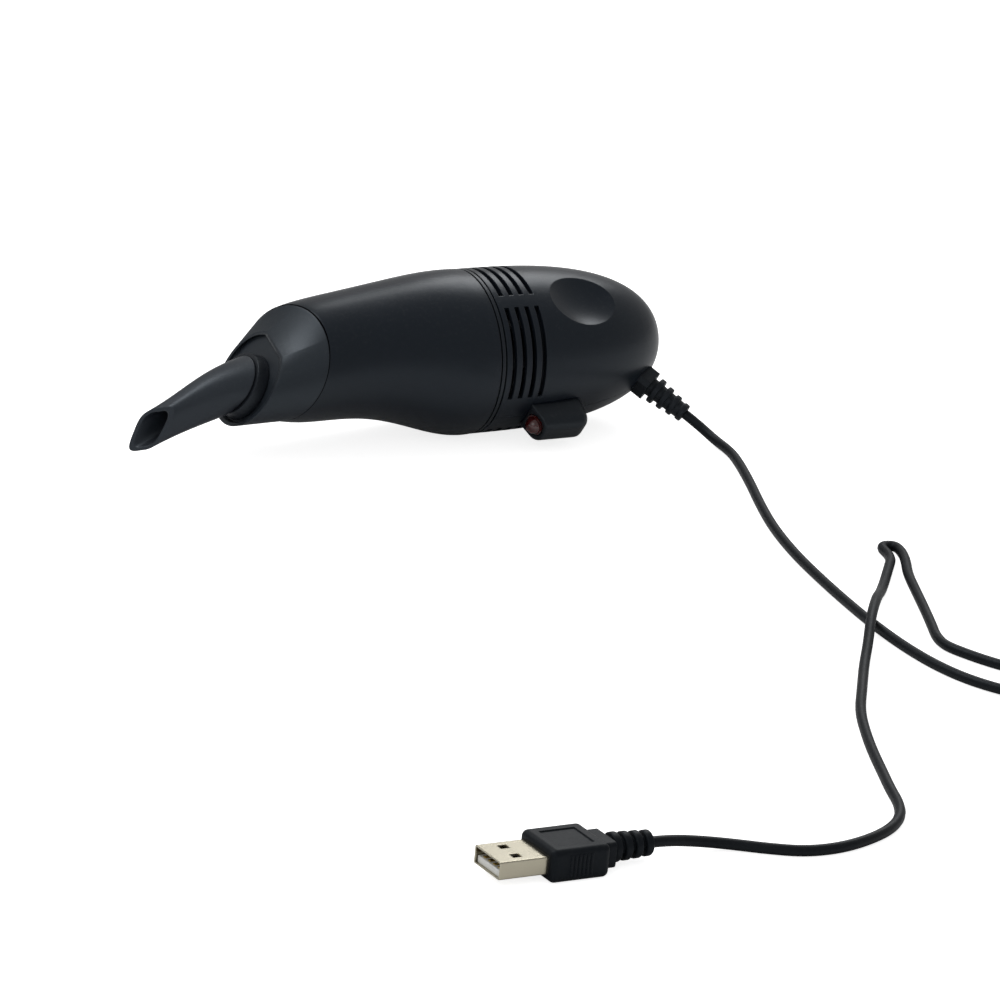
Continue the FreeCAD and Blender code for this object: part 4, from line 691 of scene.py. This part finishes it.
@dataclass(frozen=True)
class Cord:
    """The cord: from the housing's boot to its put-away coil, and on to the plug.

    Sizes are in millimetres.
    """

    diameter: float = 2.8
    length: float = 1285.9
    exit: tuple[float, float, float] = (80.0, -20.61, 6.82)
    heading: tuple[float, float, float] = (0.57, -0.66, -0.49)
    lead: float = 5.0
    coil_x: float = 85.7
    coil_y: float = -241.8
    coil_inner: float = 10.3
    coil_turns: int = 3
    coil_pitch: float = 3.3
    coil_from: float = 217.0
    coil_extra: float = 0.5
    coil_over: float = 0.12
    coil_floor: float = 2.9
    coil_step: int = 16
    plug_exit: tuple[float, float, float] = (-96.6, -296.7, 4.2)
    around: int = 5
    along: int = 6
    to_coil: tuple = (
        (84.8, -30.0, 1.8), (84.4, -39.4, 1.4), (81.2, -49.3, 1.4), (75.2, -64.8, 1.4),
        (68.2, -81.3, 1.4), (61.2, -99.8, 1.4), (55.7, -119.3, 1.4), (51.7, -138.8, 1.4),
        (48.3, -158.8, 1.4), (45.9, -176.8, 1.4), (45.0, -192.8, 1.4), (45.7, -206.3, 1.4),
        (48.5, -217.8, 1.4), (54.2, -228.8, 1.6), (61.3, -239.2, 2.0))
    to_plug: tuple = (
        (76.5, -219.0, 4.6), (71.2, -217.6, 2.4), (65.0, -213.2, 1.4), (60.9, -206.1, 1.4),
        (57.9, -198.2, 1.4), (56.3, -192.1, 1.4), (57.7, -185.8, 1.4), (61.5, -177.8, 1.4),
        (66.2, -167.4, 1.4), (71.6, -155.0, 1.4), (77.6, -141.2, 1.4), (82.5, -132.8, 1.4),
        (85.6, -126.3, 1.4), (87.0, -120.4, 1.4), (82.2, -119.6, 1.4), (80.6, -128.6, 1.4),
        (75.1, -135.6, 1.4), (67.0, -146.0, 1.4), (60.2, -154.6, 2.4), (52.3, -164.4, 5.2),
        (42.6, -177.0, 5.2), (35.5, -187.3, 2.4), (27.3, -198.4, 1.4), (16.8, -213.9, 1.4),
        (6.9, -228.4, 1.4), (-1.0, -244.1, 1.4), (-6.5, -256.3, 1.4), (-11.1, -267.4, 1.4),
        (-15.1, -276.8, 1.4), (-18.7, -286.6, 1.4), (-23.3, -294.4, 1.4), (-30.3, -300.6, 1.4),
        (-39.6, -305.0, 1.4), (-49.3, -307.4, 1.4), (-58.6, -306.8, 1.4), (-66.3, -302.6, 1.4),
        (-73.7, -297.6, 1.5), (-82.0, -295.4, 2.4))

    def coil_point(self, turn: float) -> Vector:
        """Where the coil's line is after a number of turns.

        Args:
            turn: turns from its start.

        Returns:
            The point, in millimetres.
        """
        climb_end = self.coil_turns + self.coil_extra
        if turn < self.coil_turns:
            radius = self.coil_inner + self.coil_pitch * (self.coil_turns - turn)
            height = self.coil_floor
        elif turn < climb_end:
            share = (turn - self.coil_turns) / self.coil_extra
            radius = self.coil_inner - self.coil_pitch / 4 * math.sin(math.pi * share)
            height = self.coil_floor + self.coil_pitch * (1 - math.cos(math.pi * share)) / 2
        else:
            radius = self.coil_inner + self.coil_pitch * (turn - climb_end)
            height = self.coil_floor + self.coil_pitch
        angle = math.radians(self.coil_from) + 2 * math.pi * turn
        across = Vector((math.cos(angle), math.sin(angle), 0.0)) * radius
        return Vector((self.coil_x, self.coil_y, height)) + across

    def route(self) -> list[Vector]:
        """The control points of the whole cord.

        Returns:
            The points, in millimetres.
        """
        start = Vector(self.exit)
        heading = Vector(self.heading).normalized()
        points = [start, start + heading * self.lead]
        points += [Vector(point) for point in self.to_coil]
        last = 2 * self.coil_turns + self.coil_extra + self.coil_over
        steps = int(last * self.coil_step)
        nudge = 0.01
        first_way = (self.coil_point(nudge) - self.coil_point(0.0)).normalized()
        last_way = (self.coil_point(last) - self.coil_point(last - nudge)).normalized()
        points.append(self.coil_point(0.0) - first_way * self.diameter * 2)
        points += [self.coil_point(step / self.coil_step) for step in range(steps + 1)]
        points.append(self.coil_point(last))
        points.append(self.coil_point(last) + last_way * self.diameter * 2)
        points += [Vector(point) for point in self.to_plug]
        plug = Vector(self.plug_exit)
        points += [plug + Vector((self.lead, 0.0, 0.0)), plug]
        return points

    def build(self, strap: bpy.types.Object) -> None:
        """Make the cord as one smooth line with a round section.

        Args:
            strap: the strap round its coil; not used.
        """
        curve = bpy.data.curves.new("cord", "CURVE")
        curve.dimensions = "3D"
        curve.bevel_depth = self.diameter / 2 * MM
        curve.bevel_resolution = self.around
        curve.resolution_u = self.along
        points = self.route()
        spline = curve.splines.new("NURBS")
        spline.points.add(len(points) - 1)
        for slot, point in zip(spline.points, points):
            slot.co = (*(point * MM), 1.0)
        spline.order_u = 3
        spline.use_endpoint_u = True
        spline.use_smooth = True
        curve.materials.append(CORD_RUBBER.material())
        cord = bpy.data.objects.new("cord", curve)
        bpy.context.scene.collection.objects.link(cord)
        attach(cord, "cleaner")
        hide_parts("cord_to_coil", "cord_coil", "cord_to_plug")
        LOG.info("laid the cord through %d points", len(points))


@dataclass(frozen=True)
class FilterCloth:
    """The woven cone that is stretched under the ribs of the filter's frame. Sizes are in millimetres."""

    base_at: float = -9.5
    tip_at: float = -24.0
    base_radius: float = 13.55
    tip_radius: float = 8.6
    sag: float = 0.45
    ribs: int = 6
    around: int = 144
    along: int = 24
    map_turns: float = 5.0
    weld: float = 0.001

    def share(self, vert: bmesh.types.BMVert) -> float:
        """How far a point is from the cone's base.

        Args:
            vert: the point.

        Returns:
            Nought at the base and one at the tip.
        """
        return (vert.co.x - self.base_at) / (self.tip_at - self.base_at)

    def draw_map(self, mesh: bmesh.types.BMesh) -> None:
        """Give the cloth its own map, without a jump inside a face.

        Args:
            mesh: the cloth before it sags.
        """
        full = 2 * math.pi
        chart = mesh.loops.layers.uv.new("map")
        for face in mesh.faces:
            middle = face.calc_center_median()
            about = math.atan2(middle.y, middle.z)
            for loop in face.loops:
                angle = math.atan2(loop.vert.co.y, loop.vert.co.z)
                angle += full * round((about - angle) / full)
                loop[chart].uv = (self.map_turns * angle / full, self.share(loop.vert))

    def draw_in(self, mesh: bmesh.types.BMesh) -> None:
        """Let the cloth sag between the ribs.

        Args:
            mesh: the stretched cloth.
        """
        for vert in mesh.verts:
            angle = math.atan2(vert.co.z, vert.co.y)
            dip = self.sag * abs(math.sin(angle * self.ribs / 2)) * math.sin(math.pi * self.share(vert))
            left = 1 - dip / math.hypot(vert.co.y, vert.co.z)
            vert.co.y *= left
            vert.co.z *= left

    def build(self) -> None:
        """Lay the cloth round the cone, drawn in a little between the ribs."""
        mesh = bmesh.new()
        slope = Vector((self.tip_at - self.base_at, 0.0, self.tip_radius - self.base_radius)) / self.along
        start = mesh.verts.new(Vector((self.base_at, 0.0, self.base_radius)))
        line = [start]
        edges = []
        for _ in range(self.along):
            grown = bmesh.ops.extrude_vert_indiv(mesh, verts=[line[-1]])
            bmesh.ops.translate(mesh, verts=grown["verts"], vec=slope)
            line += grown["verts"]
            edges += grown["edges"]
        bmesh.ops.spin(mesh, geom=line + edges, cent=(0.0, 0.0, 0.0), axis=(1.0, 0.0, 0.0),
                       angle=2 * math.pi, steps=self.around, use_merge=True)
        bmesh.ops.remove_doubles(mesh, verts=mesh.verts, dist=self.weld)
        self.draw_map(mesh)
        self.draw_in(mesh)
        bmesh.ops.scale(mesh, verts=mesh.verts, vec=(MM, MM, MM))
        bmesh.ops.translate(mesh, verts=mesh.verts, vec=RING_CENTRE)
        cloth = finished("filter_weave", mesh, FILTER_WEAVE, "cleaner")
        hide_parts("filter_cloth")


@dataclass(frozen=True)
class FineSkin:
    """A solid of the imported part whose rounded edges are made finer. Sizes are in metres."""

    node: str
    name: str
    slot: str
    body: str = "cleaner"
    step: float = 0.0002
    passes: int = 30

    def build(self, finish: Finish) -> None:
        """Remake the solid's skin in small steps and relax it.

        Args:
            finish: what its surface is like.
        """
        draft = bpy.data.objects.new(self.name + "_draft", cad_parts[self.node].data.copy())
        bpy.context.scene.collection.objects.link(draft)
        remesh = draft.modifiers.new("remesh", "REMESH")
        remesh.mode = "VOXEL"
        remesh.voxel_size = self.step
        relax = draft.modifiers.new("relax", "SMOOTH")
        relax.iterations = self.passes
        mesh = bmesh.new()
        mesh.from_object(draft, bpy.context.evaluated_depsgraph_get())
        bpy.data.objects.remove(draft)
        piece = finished(self.name, mesh, finish, self.body)
        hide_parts(self.node)


@dataclass(frozen=True)
class Strap:
    """The soft strap that holds the coil together. Sizes are in millimetres."""

    centre: tuple[float, float] = (85.7, -241.8)
    turn: float = 20.0
    inner: float = 7.5
    outer: float = 24.6
    low: float = 0.15
    high: float = 8.9
    corner: float = 1.7
    width: float = 4.6
    thickness: float = 0.5
    sharp: float = 70.0

    @staticmethod
    def rounded(mesh: bmesh.types.BMesh, edges: list[bmesh.types.BMEdge], offset: float, steps: int) -> None:
        """Round some edges of the strap.

        Args:
            mesh: the strap.
            edges: the edges to round.
            offset: how far the rounding reaches.
            steps: how many faces it has.
        """
        bmesh.ops.bevel(mesh, geom=edges, offset=offset, offset_type="OFFSET", affect="EDGES",
                        segments=steps, profile=0.5, material=-1)

    def build(self) -> bpy.types.Object:
        """Bend the strap from a rounded block, and give it its thickness.

        Returns:
            The strap.
        """
        mesh = bmesh.new()
        bmesh.ops.create_cube(mesh, size=1.0)
        size = Vector((self.outer - self.inner, self.width, self.high - self.low))
        bmesh.ops.scale(mesh, verts=mesh.verts, vec=size)
        long_edges = [edge for edge in mesh.edges
                      if abs((edge.verts[0].co - edge.verts[1].co).y) > self.width / 2]
        self.rounded(mesh, long_edges, self.corner, 8)
        sides = [face for face in mesh.faces if abs(face.normal.y) > 0.9]
        bmesh.ops.delete(mesh, geom=sides, context="FACES_ONLY")
        bmesh.ops.recalc_face_normals(mesh, faces=mesh.faces)
        bmesh.ops.solidify(mesh, geom=list(mesh.faces), thickness=self.thickness)
        rims = [edge for edge in mesh.edges
                if len(edge.link_faces) == 2 and edge.calc_face_angle() > math.radians(self.sharp)]
        self.rounded(mesh, rims, self.thickness / 4, 2)
        middle = Vector(((self.inner + self.outer) / 2, 0.0, (self.low + self.high) / 2))
        bmesh.ops.translate(mesh, verts=mesh.verts, vec=middle)
        turned = Matrix.Rotation(math.radians(self.turn), 3, "Z")
        bmesh.ops.rotate(mesh, verts=mesh.verts, cent=(0.0, 0.0, 0.0), matrix=turned)
        bmesh.ops.translate(mesh, verts=mesh.verts, vec=(self.centre[0], self.centre[1], 0.0))
        bmesh.ops.scale(mesh, verts=mesh.verts, vec=(MM, MM, MM))
        strap = finished("coil_strap", mesh, STRAP_RUBBER, "cleaner")
        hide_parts("coil_tie")
        return strap


@dataclass(frozen=True)
class Softbox:
    """A soft square lamp that looks at the cleaner. Sizes are in metres and its power is in watts."""

    name: str
    place: tuple[float, float, float]
    size: float
    power: float
    looks_at: tuple[float, float, float] = (0.0, -0.1, 0.0)

    def build(self) -> None:
        """Hang the lamp."""
        data = bpy.data.lights.new(self.name, "AREA")
        data.shape = "SQUARE"
        data.size = self.size
        data.energy = self.power
        lamp = bpy.data.objects.new(self.name, data)
        bpy.context.scene.collection.objects.link(lamp)
        away = (Vector(self.place) - Vector(self.looks_at)).normalized()
        turn = away.to_track_quat("Z", "Y").to_matrix().to_4x4()
        lamp.matrix_world = Matrix.Translation(self.place) @ turn


@dataclass(frozen=True)
class Studio:
    """A pale floor and soft light."""

    half_width: float = 12.0
    cells: int = 8
    floor_rough: float = 0.9
    floor_specular: float = 0.1
    floor_glow: float = 0.80
    floor_lit: tuple[float, float, float, float] = (0.92, 0.92, 0.92, 1.0)
    floor_seen: tuple[float, float, float, float] = (0.86, 0.86, 0.86, 1.0)
    sky: float = 0.40
    lamps: tuple[Softbox, ...] = (
        Softbox("key", (-0.5, 0.35, 1.25), 0.7, 8.5),
        Softbox("fill", (-1.3, -1.2, 0.9), 1.2, 3.5),
        Softbox("back", (0.9, 0.9, 1.1), 0.7, 6.0))

    def floor_material(self) -> bpy.types.Material:
        """A pale matt surface that glows a little to the camera alone.

        Returns:
            The material.
        """
        made, graph, shader = start_material("floor_white")
        shader.inputs["Roughness"].default_value = self.floor_rough
        shader.inputs["Specular IOR Level"].default_value = self.floor_specular
        rays = graph.add("ShaderNodeLightPath")
        seen = graph.maths("MAXIMUM", rays.outputs["Is Camera Ray"], rays.outputs["Is Transmission Ray"])
        graph.join(graph.blend(seen, self.floor_lit, self.floor_seen), shader.inputs["Base Color"])
        shader.inputs["Emission Color"].default_value = WHITE
        graph.join(graph.maths("MULTIPLY", seen, self.floor_glow), shader.inputs["Emission Strength"])
        return made

    def floor(self) -> None:
        """Lay the floor, as white to the camera as a studio sweep."""
        mesh = bmesh.new()
        bmesh.ops.create_grid(mesh, x_segments=self.cells, y_segments=self.cells, size=self.half_width)
        data = bpy.data.meshes.new("floor")
        mesh.to_mesh(data)
        mesh.free()
        data.materials.append(self.floor_material())
        floor = bpy.data.objects.new("floor", data)
        bpy.context.scene.collection.objects.link(floor)

    def build(self) -> None:
        """Set up the floor, the lamps and the world."""
        self.floor()
        for lamp in self.lamps:
            lamp.build()
        world = bpy.data.worlds.new("studio")
        world.use_nodes = True
        graph = Graph(world.node_tree)
        ground = graph.add("ShaderNodeBackground")
        leave = graph.add("ShaderNodeOutputWorld")
        ground.inputs["Color"].default_value = WHITE
        ground.inputs["Strength"].default_value = self.sky
        graph.join(ground.outputs[0], leave.inputs["Surface"])
        bpy.context.scene.world = world
        bpy.context.scene.view_settings.view_transform = "Standard"


class Finishes(Enum):
    """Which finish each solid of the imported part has. Solids with one finish share a member."""

    housing_near = BLACK_SHELL
    housing_far = BLACK_SHELL
    lamp = LAMP_DOME
    lamp_leads = SHELL_STEEL
    circuit_board = BOARD_LACQUER
    resistor = RESISTOR_LACQUER
    switch_slider = KNOB_SHELL
    switch_body = FERRITE
    switch_pins = SHELL_STEEL
    housing_screws = SCREW_STEEL
    cord_boot = BOOT_RUBBER
    lead_wires = WIRE_RED
    motor_case = MOTOR_STEEL
    motor_end_cap = CAP_PLASTIC
    motor_terminals = CONTACT_GOLD
    motor_magnets = FERRITE
    motor_plate = BLACK_SHELL
    motor_shaft = SHAFT_STEEL
    armature = POLE_STEEL
    # The fan wheel takes the near-black painted shade of the slots.
    fan_wheel = FAN_PAINTED_SHADE
    inlet_plate = BLACK_SHELL
    lock_ring = RING_SHELL
    dust_chamber = CHAMBER_SHELL
    front_cone = CONE_SHELL
    nozzle_collar = RING_SHELL
    nozzle = NOZZLE_SHELL
    filter_frame = CAP_PLASTIC
    plug_body = PLUG_RUBBER
    plug_shell = SHELL_STEEL
    plug_tongue = TONGUE_PLASTIC
    plug_contacts = CONTACT_GOLD


def main() -> None:
    """Build every sub-assembly in order."""
    logging.basicConfig(level=logging.INFO, format="%(name)s: %(message)s")
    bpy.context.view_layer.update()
    Camera().build()
    strap = Strap().build()
    Cord().build(strap)
    FilterCloth().build()
    FineSkin("light_pod", "fine_light_pod", "gloss_black").build(GLOSS_SHELL)
    for name, member in Finishes.__members__.items():
        dress(name, member.value)
    Studio().build()


if __name__ == "__main__":
    main()
